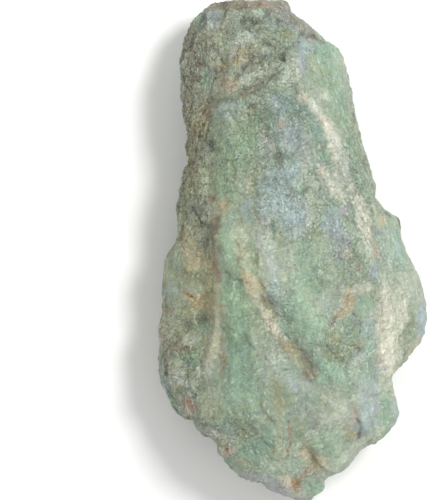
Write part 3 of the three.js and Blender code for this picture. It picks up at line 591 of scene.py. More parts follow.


# ---------------------------------------------------------------- where each mineral lies
# The minerals grew into each other, so no patch has a clean edge: each fades, and breaks up along the
# grain. Rust and dark stains follow the cracks, soil and painted shade lie in the hollows, and the crests
# are lighter with painted highlight and some wear. A painted warm shade lies on the left half, and a few
# dark patches are painted shade. The sides and the back are covered by drifts of the same minerals.

# patches of the front: x, y, half width, half length, degrees turned clockwise, and the minerals
# that share the patch with their strengths
PATCHES = [
    # broad drifts, painted shade along the left edge, and the pale rims of the foot
    (-24.1, 16.7, 4.3, 19, 4, {UMBER: 0.2, OLIVE: 0.3, SAGE: 0.3}),
    # painted shade: dark strips along the left edge
    (-25.3, 31, 1, 9, 0, {DARK: 0.6, UMBER: 0.8}), (-28.2, 9.6, 1, 8.3, 8, {DARK: 0.5, UMBER: 0.7}),
    (-31.2, -9.5, 1, 5.2, 0, {DARK: 0.5, UMBER: 0.5}),
    (-25.1, -19, 6.7, 17.8, 0, {OLIVE: 0.4, UMBER: 0.2}),
    (4, -14.2, 14.3, 21.4, 0, {GREEN: 0.4, SAGE: 0.3}), (-2, 23.8, 13.1, 14.3, 0, {TEAL: 0.5}),
    (-7.9, -41.6, 14.3, 10.7, 0, {GREEN: 0.5, OLIVE: 0.3}),
    (-5.5, -37.6, 11.9, 7.6, 0, {TEAL: 0.7, OLIVE: 0.6}), (-7.4, -55.2, 10, 1.2, 18, {PALE: 0.9}),
    (14, -47.6, 9.5, 1.2, -38, {PALE: 0.9}), (13.5, 33.4, 1.2, 16.7, -12, {SAGE: 1, OLIVE: 0.3}),
    # head
    (-11.5, 57.9, 8.8, 1.4, 0, {UMBER: 2.2, PINK: 0.7, DARK: 0.5}),
    (-7.2, 57.6, 3.3, 0.7, 0, {PINK: 0.9}),
    (0.9, 53.6, 6.4, 2.1, 38, {LAVENDER: 0.8, UMBER: 1, DARK: 0.4}),
    (-19.3, 54.8, 2.1, 2.1, 0, {BLUE: 0.9, LAVENDER: 0.8}), (-21.3, 53.4, 1.2, 1.4, 0, {DARK: 1.1}),
    (-13.9, 55.7, 4.5, 1.4, 0, {GREEN: 0.5, OLIVE: 0.4, SAGE: 0.5}),
    (-8.4, 55.7, 2.1, 1.4, 0, {PALE: 0.8, BRIGHT: 0.4, SAGE: 0.4}),
    # painted shadow round the foot of the small knob
    (-9.8, 53.4, 2.9, 0.7, 8, {DARK: 0.7}), (-5.8, 55, 0.7, 1.7, 0, {DARK: 0.9}),
    (-11, 49.3, 3.1, 1.7, 0, {PALE: 1.2, BLUE: 0.6}), (-17, 50.7, 3.6, 1.9, 0, {OLIVE: 0.7, SAGE: 0.6}),
    (-5.5, 48.6, 4.3, 2.4, 25, {SAGE: 0.9, OLIVE: 0.5, GREEN: 0.4}),
    (-7.4, 51, 1.9, 1.2, 30, {OLIVE: 0.7}), (-1.5, 52.2, 1.4, 1.2, 0, {TEAL: 0.9}),
    (-2, 50.7, 1.7, 1.2, 0, {OLIVE: 0.8, DARK: 0.2}), (-8.9, 42.9, 1.9, 1, -25, {OLIVE: 0.7}),
    (-7.2, 39.1, 2.1, 1.4, -30, {PALE: 1, SAGE: 0.6}), (-11.3, 39.1, 2.4, 1, -30, {PALE: 0.8}),
    (-18.2, 36, 1.7, 1.2, 0, {PALE: 0.7, TAN: 0.4}), (-2.9, 53.1, 2.1, 0.7, 0, {DARK: 0.7}),
    (-7.7, 46.7, 3.6, 1.7, -10, {PALE: 0.4, OLIVE: 0.4}),
    (-12, 46.2, 2.1, 1.9, 0, {OLIVE: 0.9, OCHRE: 0.7}),
    (-14.8, 43.6, 3.6, 1.4, -20, {OLIVE: 0.9, TAN: 0.6, OCHRE: 0.4}),
    (-17.7, 43.1, 1.2, 0.4, 0, {RUST: 0.6}), (-15.8, 38.6, 2.9, 2.1, 0, {TAN: 1, PINK: 0.5, SAGE: 0.5}),
    (-24.8, 42.4, 2.1, 9, 2, {UMBER: 1.1, DARK: 0.5, SAGE: 0.5, PINK: 0.3}),
    (-25.1, 48.1, 0.7, 2.9, 5, {PINK: 0.8}),
    (-21.3, 48.1, 2.4, 5.2, 8, {UMBER: 0.7, OLIVE: 0.6, SAGE: 0.5}),
    # (-20.1, 36) and (-19.1, 36.5): painted light at the left end of the valley under the head, where the
    # head drops; (-2.9, 44.8): painted shade in the small hole
    (-20.5, 40, 1.2, 3.8, -6, {GREEN: 1.5}), (-20.1, 36, 1, 1.9, 0, {BRIGHT: 1}),
    (-19.1, 36.5, 1.9, 1.7, 0, {PALE: 1.4, SAGE: 1}), (-2.9, 44.8, 0.5, 1, 0, {DARK: 1.7}),
    (-8.9, 40.5, 3.8, 1.2, -35, {PALE: 1.2}), (-11.5, 36.2, 4, 0.7, -22, {UMBER: 0.7, TAN: 0.2}),
    # shoulder
    (7.5, 46.9, 3.1, 2.9, 0, {BRIGHT: 1, GREEN: 1.2}),
    (9.2, 40.5, 2.9, 5.2, -15, {BRIGHT: 0.6, GREEN: 1.2, OLIVE: 0.5}), (7.1, 41.2, 1, 1, 0, {OLIVE: 1.3}),
    (11.4, 32.9, 1.7, 6.2, -13, {GREEN: 1.4, OLIVE: 0.3}), (2.8, 48.1, 2.1, 2.4, 0, {BLUE: 1.4}),
    (1.6, 43.4, 1.4, 2.1, 0, {LAVENDER: 0.9, BLUE: 0.9}), (3.7, 40, 1.4, 2.1, 0, {GREEN: 0.9}),
    (-1, 41.2, 1.9, 3.1, 22, {PALE: 1.3}), (7.8, 36.7, 2.9, 1.7, 10, {PALE: 0.9}),
    (8.7, 37.9, 1.7, 1.9, 0, {GREEN: 0.7, OLIVE: 0.5}), (11.1, 33.1, 1.4, 1.9, 0, {OLIVE: 0.5, TAN: 0.3}),
    # vein beside the right ridge
    (1.8, 35.3, 1.7, 1.7, 0, {CREAM: 1.2, TAN: 0.8}), (4.7, 32.9, 3.3, 1, 42, {CREAM: 1.9}),
    (8, 29.1, 1.4, 2.4, -25, {CREAM: 1.7, PINK: 0.7}),
    (9.2, 23.8, 1.7, 3.6, -10, {CREAM: 1.7, PALE: 0.6}),
    (6.8, 17.2, 1.2, 3.1, -25, {CREAM: 1.5, PINK: 0.5}),
    (11.4, 19.6, 1.4, 4, -10, {PALE: 1.5, LAVENDER: 0.7}),
    (9.9, 14.3, 1.7, 3.3, -15, {CREAM: 1.3, PALE: 1}), (14, 12.9, 1.2, 2.9, -35, {CREAM: 0.9}),
    (16.1, 6.2, 1.4, 7.1, -9, {CREAM: 1.3}),
    # upper face
    (-15.8, 32.4, 3.3, 1.9, 0, {BLUE: 1.8, PALE: 0.8}), (-16.5, 26.9, 1.2, 1.4, 0, {BLUE: 1.2}),
    (-13.6, 29.1, 4.8, 3.6, 0, {GREEN: 0.9, PALE: 0.6, SAGE: 0.4}),
    (-7.7, 31.2, 3.3, 3.3, 0, {TEAL: 1, OLIVE: 0.8}),
    (-3.9, 32.9, 2.6, 2.4, 0, {BLUE: 1.3, LAVENDER: 0.7}),
    (-10.1, 32.4, 1.9, 1.4, 0, {DARK: 0.5, UMBER: 0.5}),
    (-0.1, 34.3, 3.8, 2.4, 20, {TEAL: 0.8, BLUE: 0.8, PALE: 0.4}), (-2.9, 29.3, 1, 1.2, 0, {PINK: 0.9}),
    (4.7, 27.7, 1.4, 3.3, -10, {TEAL: 1, BLUE: 0.5}), (6.8, 21.9, 1.2, 1.4, 0, {BRIGHT: 1.6}),
    (-6.7, 25, 1.9, 2.9, 0, {LAVENDER: 1, PALE: 0.4}), (2.1, 20.3, 2.4, 2.9, 0, {PALE: 1, BLUE: 0.6}),
    (-1.5, 23.8, 2.1, 1.9, 0, {PALE: 0.7, BLUE: 0.4}),
    (-0.8, 26.2, 2.9, 3.6, 0, {BLUE: 1.4, LAVENDER: 0.7}),
    (2.5, 23.4, 1.9, 3.6, 0, {LAVENDER: 0.9, PINK: 0.3}), (-4.1, 21.5, 1, 2.1, 0, {DARK: 1.3}),
    (-12.9, 22.7, 3.6, 4.8, 0, {GREEN: 1.1, BRIGHT: 0.5}), (-4.6, 13.9, 3.1, 5.7, 0, {BLUE: 2.6}),
    (-0.5, 17.7, 1.9, 3.1, 0, {BLUE: 1.3}), (-0.1, 7.9, 3.3, 4, 0, {BLUE: 2.1, PALE: 0.5}),
    (1.6, 3.9, 3.3, 2.1, 0, {BLUE: 1.1, PALE: 0.8}), (-9.4, 16.7, 1.4, 3.1, 0, {OLIVE: 0.7}),
    (4, 3.6, 1.9, 2.6, 30, {OLIVE: 1.4, GREEN: 0.9}), (8.7, 5.3, 2.4, 2.9, 0, {BLUE: 1.7, LAVENDER: 0.9}),
    (11.4, 9.3, 1.2, 1, 0, {LAVENDER: 1.7}), (12.5, 28.4, 1.4, 2.4, -10, {OLIVE: 0.9}),
    (14.7, 20.3, 1.7, 7.1, -13, {GREEN: 1.4, OLIVE: 0.4}), (20.9, 6.9, 1, 1.2, 0, {TAN: 1.2}),
    (-11, 9.1, 1.4, 2.4, 0, {BLUE: 1.4}), (-12.7, 3.6, 2.4, 2.1, 0, {PALE: 1.5}),
    (-7.7, 4.3, 1.9, 3.6, 0, {LAVENDER: 0.6, PALE: 0.6}), (-5.1, 5.3, 1, 1.2, 0, {TEAL: 1.6}),
    # left flank
    (-24.1, 23.8, 1.4, 10, 4, {UMBER: 1, TAN: 0.6}), (-20.8, 31.5, 1.4, 6.2, 8, {TAN: 1.6, SAGE: 0.9}),
    (-23.6, 21, 0.6, 2.9, 8, {PINK: 1.1}), (-24.6, 31.7, 0.7, 2.4, 0, {GREEN: 1}),
    (-19.3, 25, 0.7, 0.7, 0, {DARK: 1.4}), (-20.3, 22.9, 1.2, 1.9, 0, {LAVENDER: 1.3}),
    (-19.3, 19.6, 1.4, 3.3, 0, {SAGE: 1.2, PALE: 0.6}), (-14.8, 20.3, 1, 2.4, 0, {OLIVE: 1.4}),
    (-16.3, 15, 2.9, 4, 0, {GREEN: 1, BRIGHT: 0.5, PALE: 0.4}),
    (-21.7, 16.2, 1.9, 3.8, 0, {SAGE: 1, PALE: 0.7, TAN: 0.6}), (-19.6, 11.9, 1, 0.7, 0, {RUST: 1.1}),
    (-16, 10.5, 1.7, 1.4, 0, {TAN: 0.8}),
    (-22.7, 8.9, 3.1, 3.3, 0, {DARK: 0.4, UMBER: 0.6, SAGE: 0.7, LAVENDER: 0.8}),
    (-24.6, 2.9, 2.6, 3.3, 0, {TAN: 0.9, SAGE: 0.6}), (-18.6, 2.2, 1.7, 4.5, 5, {UMBER: 1.9, DARK: 0.8}),
    (-16, 2, 1.7, 3.3, 0, {BRIGHT: 1.4}), (-25.8, 33.1, 1.1, 3.3, 0, {UMBER: 1.3, DARK: 0.6}),
    # left side and its knobs
    (-23.6, -0.9, 2.9, 3.3, 10, {TAN: 1.3, PALE: 0.5}),
    (-19.8, -7.1, 1.7, 6.2, -5, {TAN: 1.1, OLIVE: 0.7, SAGE: 0.5}),
    (-28.9, -4.2, 1.9, 3.1, 0, {SAGE: 1.2, DARK: 0.7}), (-24.3, -6.9, 2.9, 1.7, 0, {OLIVE: 1}),
    (-24.6, -10.9, 1.7, 1.2, 10, {OCHRE: 1.2}), (-22.2, -12.6, 2.6, 2.1, 0, {OCHRE: 1.4, TAN: 1.4}),
    (-18.2, -4.2, 0.7, 2.9, -8, {PINK: 1.1, RUST: 0.8}), (-17, -13.5, 1, 0.7, 0, {RUST: 1.2}),
    (-18.4, -13, 1.4, 2.9, 0, {TAN: 1.1, OCHRE: 0.5, OLIVE: 0.6}),
    (-28.9, -9.9, 1.9, 1.9, 0, {BLUE: 0.8}), (-29.8, -14.5, 1.7, 1, 0, {UMBER: 1.4}),
    (-24.6, -16.1, 4, 1.9, 0, {OLIVE: 0.7, DARK: 0.2}), (-21.3, -18.3, 2.9, 1.9, 0, {TEAL: 1.1}),
    (-25.5, -21.6, 2.1, 1.4, 0, {LAVENDER: 1.2, PALE: 1.4, TAN: 0.4}),
    (-26, -23.8, 1.7, 0.7, 0, {RUST: 1.2, UMBER: 0.8}),
    (-27.2, -19.7, 1.4, 1, 0, {OLIVE: 0.9, UMBER: 0.5}),
    (-24.1, -25.7, 2.9, 2.1, 0, {GREEN: 1.2, TEAL: 0.6}), (-27.7, -25.7, 1.9, 1.9, 0, {SAGE: 1.3}),
    (-19.6, -21.8, 1.9, 5.9, 8, {CREAM: 1, PALE: 1, TAN: 0.8}),
    (-21, -28.5, 2.1, 1.9, 30, {PALE: 1.4, CREAM: 0.7, OLIVE: 0.3}),
    (-16.7, -23.8, 0.7, 9, 0, {UMBER: 0.8, PINK: 0.4}), (-30.8, -19, 1.2, 4.3, 0, {PINK: 0.8, SAGE: 0.6}),
    (-29.8, -26.6, 0.7, 2.9, 0, {UMBER: 1}), (-30.8, -30.4, 0.7, 3.3, 0, {PALE: 0.8, BLUE: 0.8}),
    (-27.9, -30.2, 1.9, 1.7, 0, {LAVENDER: 1.2, PALE: 2.6}),
    (-24.6, -31.8, 1.4, 2.1, 0, {PALE: 1, BLUE: 0.6, SAGE: 0.4}),
    (-28.2, -22.6, 1.9, 2.1, 0, {PINK: 0.5, UMBER: 0.5}), (-25.3, -35.4, 1, 1.4, 0, {RUST: 1}),
    (-24.1, -37.6, 1.7, 1.4, 0, {PINK: 1.4, RUST: 0.8}),
    # trough
    (-13.2, -19, 2.9, 11.9, -4, {GREEN: 2, TEAL: 0.7}),
    (-14.4, -10.9, 1.7, 5.2, -4, {TEAL: 1.3, GREEN: 0.8}),
    (-13.6, -30.2, 2.1, 3.3, 0, {TEAL: 2.2, GREEN: 0.6}), (-12, -20.2, 1.2, 5.2, -8, {BRIGHT: 0.5}),
    (-12.7, -24.2, 2.1, 3.3, 0, {TEAL: 1.5}), (-15.8, -2.1, 1.7, 2.9, 0, {BRIGHT: 1.2}),
    (-12.4, -0.9, 1.4, 3.1, 0, {OLIVE: 0.9, CREAM: 0.9}),
    # long streak of the middle
    (-10.5, -7.3, 1.7, 2.9, -25, {TAN: 1.6, CREAM: 0.9}),
    (-9.4, -11.4, 1.4, 2.4, -25, {CREAM: 1.5, TAN: 1.2}),
    (-7.2, -12.1, 1, 1.9, -30, {UMBER: 1.2, TAN: 0.5}),
    (-6.5, -15.2, 1.7, 1.7, -30, {TAN: 1, CREAM: 1.2}),
    (-4.8, -18.5, 1.4, 3.1, -35, {CREAM: 1.9, TAN: 1.1}),
    (-7.2, -9.5, 0.7, 3.6, -25, {UMBER: 0.7, TAN: 0.6}),
    (-1.5, -22.8, 1.4, 2.9, -40, {TAN: 1.3, OLIVE: 0.9}),
    (0.9, -25.2, 1.4, 3.3, -40, {OLIVE: 1.2, TAN: 0.9}),
    # the pocket at the end of the groove: brown, darkened with painted shade in its hollow
    (3.7, -28.3, 1.2, 1.2, -30, {UMBER: 0.9, OLIVE: 0.4}),
    (3.3, -27.6, 1.7, 3.1, -28, {UMBER: 2.6, DARK: 2.2}),
    (-6.3, -2.3, 1.7, 4.8, -10, {LAVENDER: 0.6, BLUE: 0.8, PALE: 0.7}),
    (-4.4, -9.7, 1.7, 3.3, -15, {BLUE: 1.2}), (-8.4, -20.4, 1.9, 3.3, -25, {PALE: 1.1}),
    (-5.1, -24.9, 3.1, 3.1, -20, {PALE: 1.3, LAVENDER: 0.5}),
    (-6.5, -30.9, 2.1, 2.1, 0, {OLIVE: 0.7, SAGE: 0.7}),
    # smooth lobes
    (1.8, -16.1, 3.3, 5.7, -40, {BRIGHT: 2.2}), (4.5, -4.2, 4.8, 6.2, 0, {GREEN: 1.9, OLIVE: 0.6}),
    (-1.3, -3.5, 2.1, 4, 0, {PALE: 1.1}), (6.8, -9.5, 1.7, 0.7, 0, {PINK: 1}),
    (1.6, -6.9, 1.9, 1.9, 0, {GREEN: 1.2, TEAL: 0.5}), (7.5, -12.1, 2.9, 1.9, 0, {BLUE: 0.6, SAGE: 0.6}),
    (7.5, -28.3, 4.5, 2.6, 32, {BRIGHT: 2.1}),
    # right of the middle
    (10.4, 0.8, 2.6, 3.6, 0, {LAVENDER: 1.1}), (11.8, -0.4, 1.2, 1.9, 0, {TAN: 0.9}),
    (18.3, -5, 1.2, 1.7, -10, {BLUE: 2, LAVENDER: 1.2}),
    (14.7, -4.2, 0.7, 1.2, 0, {RUST: 0.6, PINK: 0.2}), (19.2, -0.2, 1, 1.9, 0, {PINK: 0.8}),
    (15.6, -9.2, 2.4, 1.2, 0, {CREAM: 1.6}), (16.4, -6.9, 2.1, 0.6, 0, {OLIVE: 1.2}),
    (12.5, -12.1, 1.2, 3.3, 8, {TAN: 1.7, OCHRE: 1}), (10.2, -15.2, 1.4, 1, -20, {TAN: 1.2}),
    (8.5, -17.1, 1, 1, 0, {UMBER: 1.2}), (23.5, 0, 3.3, 5.2, -25, {GREEN: 1.1, BLUE: 0.7}),
    (25.6, -4.2, 1.9, 1.4, 0, {TEAL: 0.9}),
    # rough hollow
    (9.4, -20.4, 2.1, 2.1, 0, {OLIVE: 1.1}), (12.8, -21.8, 2.4, 1.4, -20, {OLIVE: 1.1, TAN: 0.3}),
    (11.8, -19, 2.1, 2.1, 0, {GREEN: 1.2}), (8.7, -23.8, 1.4, 1.4, 0, {OLIVE: 0.9}),
    (14.2, -17.1, 1.2, 1.9, 0, {OLIVE: 0.9, LAVENDER: 0.6}), (16.1, -13, 2.1, 2.1, 0, {GREEN: 1.1}),
    (17.3, -18, 1.2, 2.9, 0, {BLUE: 1.1}), (17.3, -22.8, 1, 3.1, 0, {BRIGHT: 1.2}),
    (17.1, -28.3, 1.4, 2.1, 0, {GREEN: 1.8, TEAL: 0.5}),
    (9.4, -24.9, 3.1, 1.9, 15, {OLIVE: 1, DARK: 0.4}),
    (14.7, -25.4, 1.7, 1.4, 0, {LAVENDER: 0.7, PALE: 0.7}), (12.3, -16.9, 1.4, 1.2, 0, {OLIVE: 0.8}),
    # pale right band
    (21.8, -20.4, 1.9, 10, -3, {CREAM: 2.4}),
    (24.9, -15.4, 2.1, 6.7, 0, {CREAM: 1.2, PALE: 1.3, SAGE: 0.4}),
    (26.3, -8.8, 2.6, 2.9, 0, {PALE: 1, SAGE: 0.7}), (28, -18, 1, 4.5, 0, {OLIVE: 0.8, GREEN: 0.8}),
    (30.4, -16.6, 1.2, 3.6, 0, {BLUE: 1.7, LAVENDER: 0.7, TEAL: 0.9}),
    (20.6, -17.1, 0.4, 4.8, -3, {UMBER: 1.2}), (24.9, -24.2, 1.9, 2.1, 20, {PALE: 1.2}),
    # below the middle
    (-12, -32.8, 5.2, 4.3, 0, {GREEN: 1.6, TEAL: 0.4}),
    (-19.3, -33.7, 2.4, 4, 0, {OLIVE: 0.5, SAGE: 1.2}),
    (-4.1, -35.2, 1.4, 4.8, 0, {TAN: 1.1, OLIVE: 0.9}), (-7.4, -36.6, 0.7, 3.3, 0, {UMBER: 0.8}),
    (1.6, -32.3, 3.1, 3.6, 0, {BLUE: 0.6, LAVENDER: 0.6, SAGE: 0.5}),
    (2.5, -37.3, 1.9, 2.1, 0, {BLUE: 0.9, PINK: 0.4}), (5.4, -39.5, 1.9, 2.6, 0, {LAVENDER: 1}),
    (9, -37.3, 3.1, 4.8, 0, {PALE: 1.2, CREAM: 0.5, SAGE: 0.5}), (8, -38.5, 0.7, 1.9, 20, {TAN: 1.2}),
    (12.8, -43, 1.7, 2.9, 0, {OLIVE: 0.8, OCHRE: 0.4, PALE: 0.6}),
    (14.2, -38.3, 1, 3.6, 0, {TAN: 1, LAVENDER: 0.7}), (14.4, -38.3, 0.7, 0.7, 0, {DARK: 1.5}),
    (17.3, -34.7, 2.9, 6.2, 0, {BLUE: 1, LAVENDER: 0.6, SAGE: 0.4}),
    (16.4, -41.6, 2.1, 3.3, 20, {BLUE: 1.1}), (21.6, -37.6, 1.4, 6.4, 0, {GREEN: 1.3}),
    (20.9, -32.6, 1.4, 2.4, 0, {PALE: 1.7, CREAM: 0.5}),
    (-16, -32.8, 1.4, 2.6, 0, {GREEN: 0.8, DARK: 0.5}),
    (-10.3, -35.9, 3.1, 1.7, 0, {GREEN: 1.4, OLIVE: 0.5}),
    # foot
    (-19.6, -39, 2.9, 2.4, 0, {OLIVE: 0.8, SAGE: 0.6, UMBER: 0.3}),
    (-13.2, -38.7, 3.8, 3.1, 0, {GREEN: 1.2, OLIVE: 0.5, SAGE: 0.5}),
    (-15.1, -42.6, 1.9, 2.9, 0, {BLUE: 1}), (-19.6, -43.3, 3.3, 1.2, 25, {LAVENDER: 0.8, SAGE: 0.8}),
    (-16, -44.7, 2.1, 1.4, 20, {UMBER: 1.5, OLIVE: 0.8}),
    # the pit in the foot: a pale pink rim, and rust darkened with painted shade inside
    (-15.5, -47.3, 1.3, 1.3, 0, {PALE: 2, PINK: 1.8}), (-15.5, -47.3, 0.5, 0.5, 0, {DARK: 3, RUST: 1.5}),
    (-17.7, -42.3, 0.3, 0.3, 0, {DARK: 1.6}), (-8.6, -46.6, 3.3, 2.9, 0, {TEAL: 0.9, BRIGHT: 0.9}),
    (-5.5, -43.7, 2.1, 3.3, 0, {BRIGHT: 1.5}), (-3.4, -43.3, 1.9, 5.2, 0, {PALE: 1.2, OLIVE: 0.6}),
    (-1, -42.8, 0.5, 2.6, 2, {PINK: 1, RUST: 0.5}), (-1.5, -47.3, 0.4, 1.7, 20, {RUST: 1.2}),
    (-3.2, -50.6, 4.8, 2.4, 0, {PALE: 1.5, BRIGHT: 1.2}),
    (2.1, -48, 1.2, 1, 0, {TAN: 0.7, PINK: 0.5, PALE: 0.5}),
    (4.5, -49.2, 1.4, 3.1, -28, {OLIVE: 0.9, UMBER: 0.3, TAN: 0.5}),
    (-9.1, -47.8, 2.1, 1.9, 0, {BRIGHT: 0.9, TEAL: 0.6}),
    (6.6, -50.2, 1.7, 1.9, 0, {TAN: 0.6, PALE: 0.8}), (9.2, -45.4, 3.8, 3.3, 0, {GREEN: 1.3, SAGE: 0.4}),
    (-8.9, -54.2, 4.8, 1.2, 12, {LAVENDER: 1.4, SAGE: 0.4}),
    (-12.2, -50.4, 2.9, 1.4, 30, {OLIVE: 0.8, SAGE: 0.6}),
    (-3.2, -56.6, 3.1, 1.2, 30, {LAVENDER: 2.8, PALE: 0.6}),
    (-2, -54.9, 2.1, 1.4, 0, {CREAM: 1.2, TAN: 1.2}),
    (0.6, -55.4, 1.2, 1.2, 0, {RUST: 1.8, OCHRE: 2.2, TAN: 0.4}),
    (2.5, -52.8, 0.5, 1.7, 20, {RUST: 0.6, PINK: 0.6}),
    (4.5, -56.1, 2.4, 1.9, 0, {BRIGHT: 1.3, PALE: 0.7, GREEN: 0.4}),
    (-5.1, -56.1, 1.4, 1, 0, {LAVENDER: 1.4, PALE: 0.4}),
]
# how far the skin has turned to the front where patches set in and are full, how sharply a patch
# ends, and how far its outline is pushed about, as a share of its size up to a limit
PATCH_TURN = (-0.05, 0.35)
PATCH_EDGE = 1.5
PATCH_WARP = 0.5
PATCH_WARP_REACH = 4
WARP_ACROSS = [(1, 3.5, 21), (0.5, 1.3, 22)]
WARP_ALONG = [(1, 3.5, 23), (0.5, 1.3, 24)]
# stains beside the cracks: strength, reach in half widths of the crack, and where they break off
STAIN = 0.8
STAIN_REACH = 1.3
STAIN_SIZE = 2.5
STAIN_SEED = 46
STAIN_LEVELS = (-0.4, 0.2)

# drifts all round the stone, drawn out along the grain: colour, strength, size, noise level
DRIFTS = [
    (GREEN, 1.3, 9, -0.10), (BLUE, 1.2, 7, 0.05), (CREAM, 1.3, 5, 0.22), (OLIVE, 0.9, 8, 0.08),
    (UMBER, 1.0, 6, 0.12), (BRIGHT, 1.0, 6, 0.20), (TAN, 0.9, 4, 0.22), (DARK, 0.6, 5, 0.15),
    (LAVENDER, 0.8, 6, 0.18), (RUST, 0.8, 3, 0.42)]
DRIFT_IN_FRONT = 0.25
DRIFT_FADE = 0.35
DRIFT_SEED = 60
BREAK_UP = 0.85
BREAK_SEED = 80
CRISPNESS = 1.7
BASE_STRENGTH = 0.5
# light and dark swells, the fine ones stronger on the crust
SHADES = [(0.07, 4.5, 31)]
FINE_SHADE = 0.05
FINE_SHADE_ON_CRUST = 0.07
FINE_SHADE_SIZE = 1.8
FINE_SHADE_SEED = 32
# soil and painted shade in the hollows, and painted highlight with some wear on the crests: the most of
# each, and the depths between
SOIL_AND_SHADE = 0.35 * PALETTE[DARK] + 0.35 * PALETTE[UMBER]
SOIL_AND_SHADE_MOST = 0.45
SOIL_AND_SHADE_DEPTHS = (0.15, 0.7)
CREST_HIGHLIGHT = 0.35
CREST_HEIGHTS = (0.1, 0.7)
# painted warm shade lies on the left half, and the rest is painted lighter. Where the shade fades in,
# from the right, below the head and above the foot, and what it does to the colour there and on the rest
WARM_SHADE_SIDE = (-10, 26)
WARM_SHADE_HEAD = (-44, -26)
WARM_SHADE_FOOT = (-40, -12)
WARM_SHADE_WAVER = [(4, 9, 34)]
WARM_SHADE_TINT = np.array([0.12, 0.10, -0.03])
LIT_REST_TINT = np.array([0.13, 0.115, 0.13])


def broken(p, along, fibrous, seed):
    """How much a colour gathers or thins out, in blotches or, on split ground, in streaks."""
    blotches = layers(noise, p, [(1, 2.6, seed), (0.8, 1.1, seed + 1)])
    streaks = 1.2 * noise(along, 1.3, seed + 2)
    return np.exp(BREAK_UP * (blotches * (1 - 0.6 * fibrous) + streaks * fibrous))


def stone_tint(p, normals, rough, fibrous, depth):
    """Linear colour of the skin: the colours that meet at a point compete for it."""
    turned = ease(normals[..., 2], *PATCH_TURN)
    warp_x, warp_y = layers(noise, p, WARP_ACROSS), layers(noise, p, WARP_ALONG)
    along = grain_points(p)
    share = np.zeros((len(PALETTE), *turned.shape))
    share[SAGE] = BASE_STRENGTH
    for x, y, wide, long, turn, colours in PATCHES:
        warp = PATCH_WARP * min(wide, long, PATCH_WARP_REACH)
        dx, dy = p[..., 0] + warp * warp_x - x, p[..., 1] + warp * warp_y - y
        cosine, sine = np.cos(np.radians(turn)), np.sin(np.radians(turn))
        u, v = (dx * cosine - dy * sine) / wide, (dx * sine + dy * cosine) / long
        reach = turned * np.exp(-(u * u + v * v) ** PATCH_EDGE)
        for colour, strength in colours.items():
            share[colour] += strength * reach
    x, y = np.moveaxis(crack_points(p)[..., :2], -1, 0)
    stain = STAIN * turned * ease(noise(p, STAIN_SIZE, STAIN_SEED), *STAIN_LEVELS)
    for height, width, colour, points in CRACKS:
        reach = (distance_to_line(x, y, points) / (STAIN_REACH * width)) ** 2
        share[colour] += stain * np.exp(-reach)
    elsewhere = 1 - (1 - DRIFT_IN_FRONT) * turned
    for k, (colour, strength, size, level) in enumerate(DRIFTS):
        drift = ease(noise(along, size, DRIFT_SEED + k), level, level + DRIFT_FADE)
        share[colour] += strength * elsewhere * drift
    for colour in range(len(PALETTE)):
        share[colour] *= broken(p, along, fibrous, BREAK_SEED + 3 * colour)
    share = share ** CRISPNESS
    tint = np.moveaxis(np.tensordot(PALETTE, share, (0, 0)) / share.sum(0), 0, -1)
    fine_shade = FINE_SHADE + FINE_SHADE_ON_CRUST * rough
    shade = layers(noise, p, SHADES) + fine_shade * noise(p, FINE_SHADE_SIZE, FINE_SHADE_SEED)
    tint = tint * np.exp(shade)[..., None]
    # painted warm shade on the left half, painted light on the rest
    warm_shade = ease(layers(noise, p, WARM_SHADE_WAVER) - p[..., 0], *WARM_SHADE_SIDE)
    warm_shade = warm_shade * ease(-p[..., 1], *WARM_SHADE_HEAD)
    warm_shade = (warm_shade * ease(p[..., 1], *WARM_SHADE_FOOT))[..., None]
    tint = tint * (1 + warm_shade * WARM_SHADE_TINT + (1 - warm_shade) * LIT_REST_TINT)
    # soil and painted shade darken the hollows, and painted highlight with some wear lightens the crests
    soil_and_shade = SOIL_AND_SHADE_MOST * ease(depth, *SOIL_AND_SHADE_DEPTHS)[..., None]
    tint = tint * (1 + CREST_HIGHLIGHT * ease(-depth, *CREST_HEIGHTS)[..., None])
    return tint * (1 - soil_and_shade) + soil_and_shade * SOIL_AND_SHADE


# ---------------------------------------------------------------- mesh of the stone
# The whole stone is one closed skin: rows of points round it, and a fan that closes each tip. It
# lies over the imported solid, on the floor, and its points carry what the material needs to know.

MM_IN_METRE = 1000


def skin_faces():
    """Corner indices of the grid's quads, and of the two fans that close its tips."""
    row = 1 + np.arange(ROWS - 2)[:, None] * COLUMNS
    column = np.arange(COLUMNS)
    beside = np.roll(column, -1)
    quads = np.stack([row + column, row + beside, row + COLUMNS + beside,
                      row + COLUMNS + column], -1).reshape(-1, 4)
    last = 1 + (ROWS - 2) * COLUMNS
    foot = last + COLUMNS
    head_fan = np.stack([0 * column, 1 + beside, 1 + column], -1)
    foot_fan = np.stack([foot + 0 * column, last + column, last + beside], -1)
    return quads.tolist() + head_fan.tolist() + foot_fan.tolist()


def skin_values(grid):
    """One value a point of the mesh: the rows between the tips, and the mean of each end row."""
    middle = grid[1:-1].reshape(-1, *grid.shape[2:])
    return np.concatenate([grid[0].mean(0)[None], middle, grid[-1].mean(0)[None]])


def add_attribute(mesh, name, kind, values):
    """Gives each point of the mesh a colour, a vector or a number."""
    field = {"FLOAT_COLOR": "color", "FLOAT_VECTOR": "vector"}.get(kind, "value")
    mesh.attributes.new(name, kind, "POINT").data.foreach_set(field, values.ravel())


grid, rough, fibrous, depth = stone_grid()
tint = stone_tint(grid, grid_normals(grid), rough, fibrous, depth)

points = skin_values(grid)
cad_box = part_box("rough_stone")
cad_middle = (Vector(cad_box[0]) + Vector(cad_box[1])) / 2
shift = np.array(cad_middle) * MM_IN_METRE - (points.min(0) + points.max(0)) / 2
shift[2] = 0

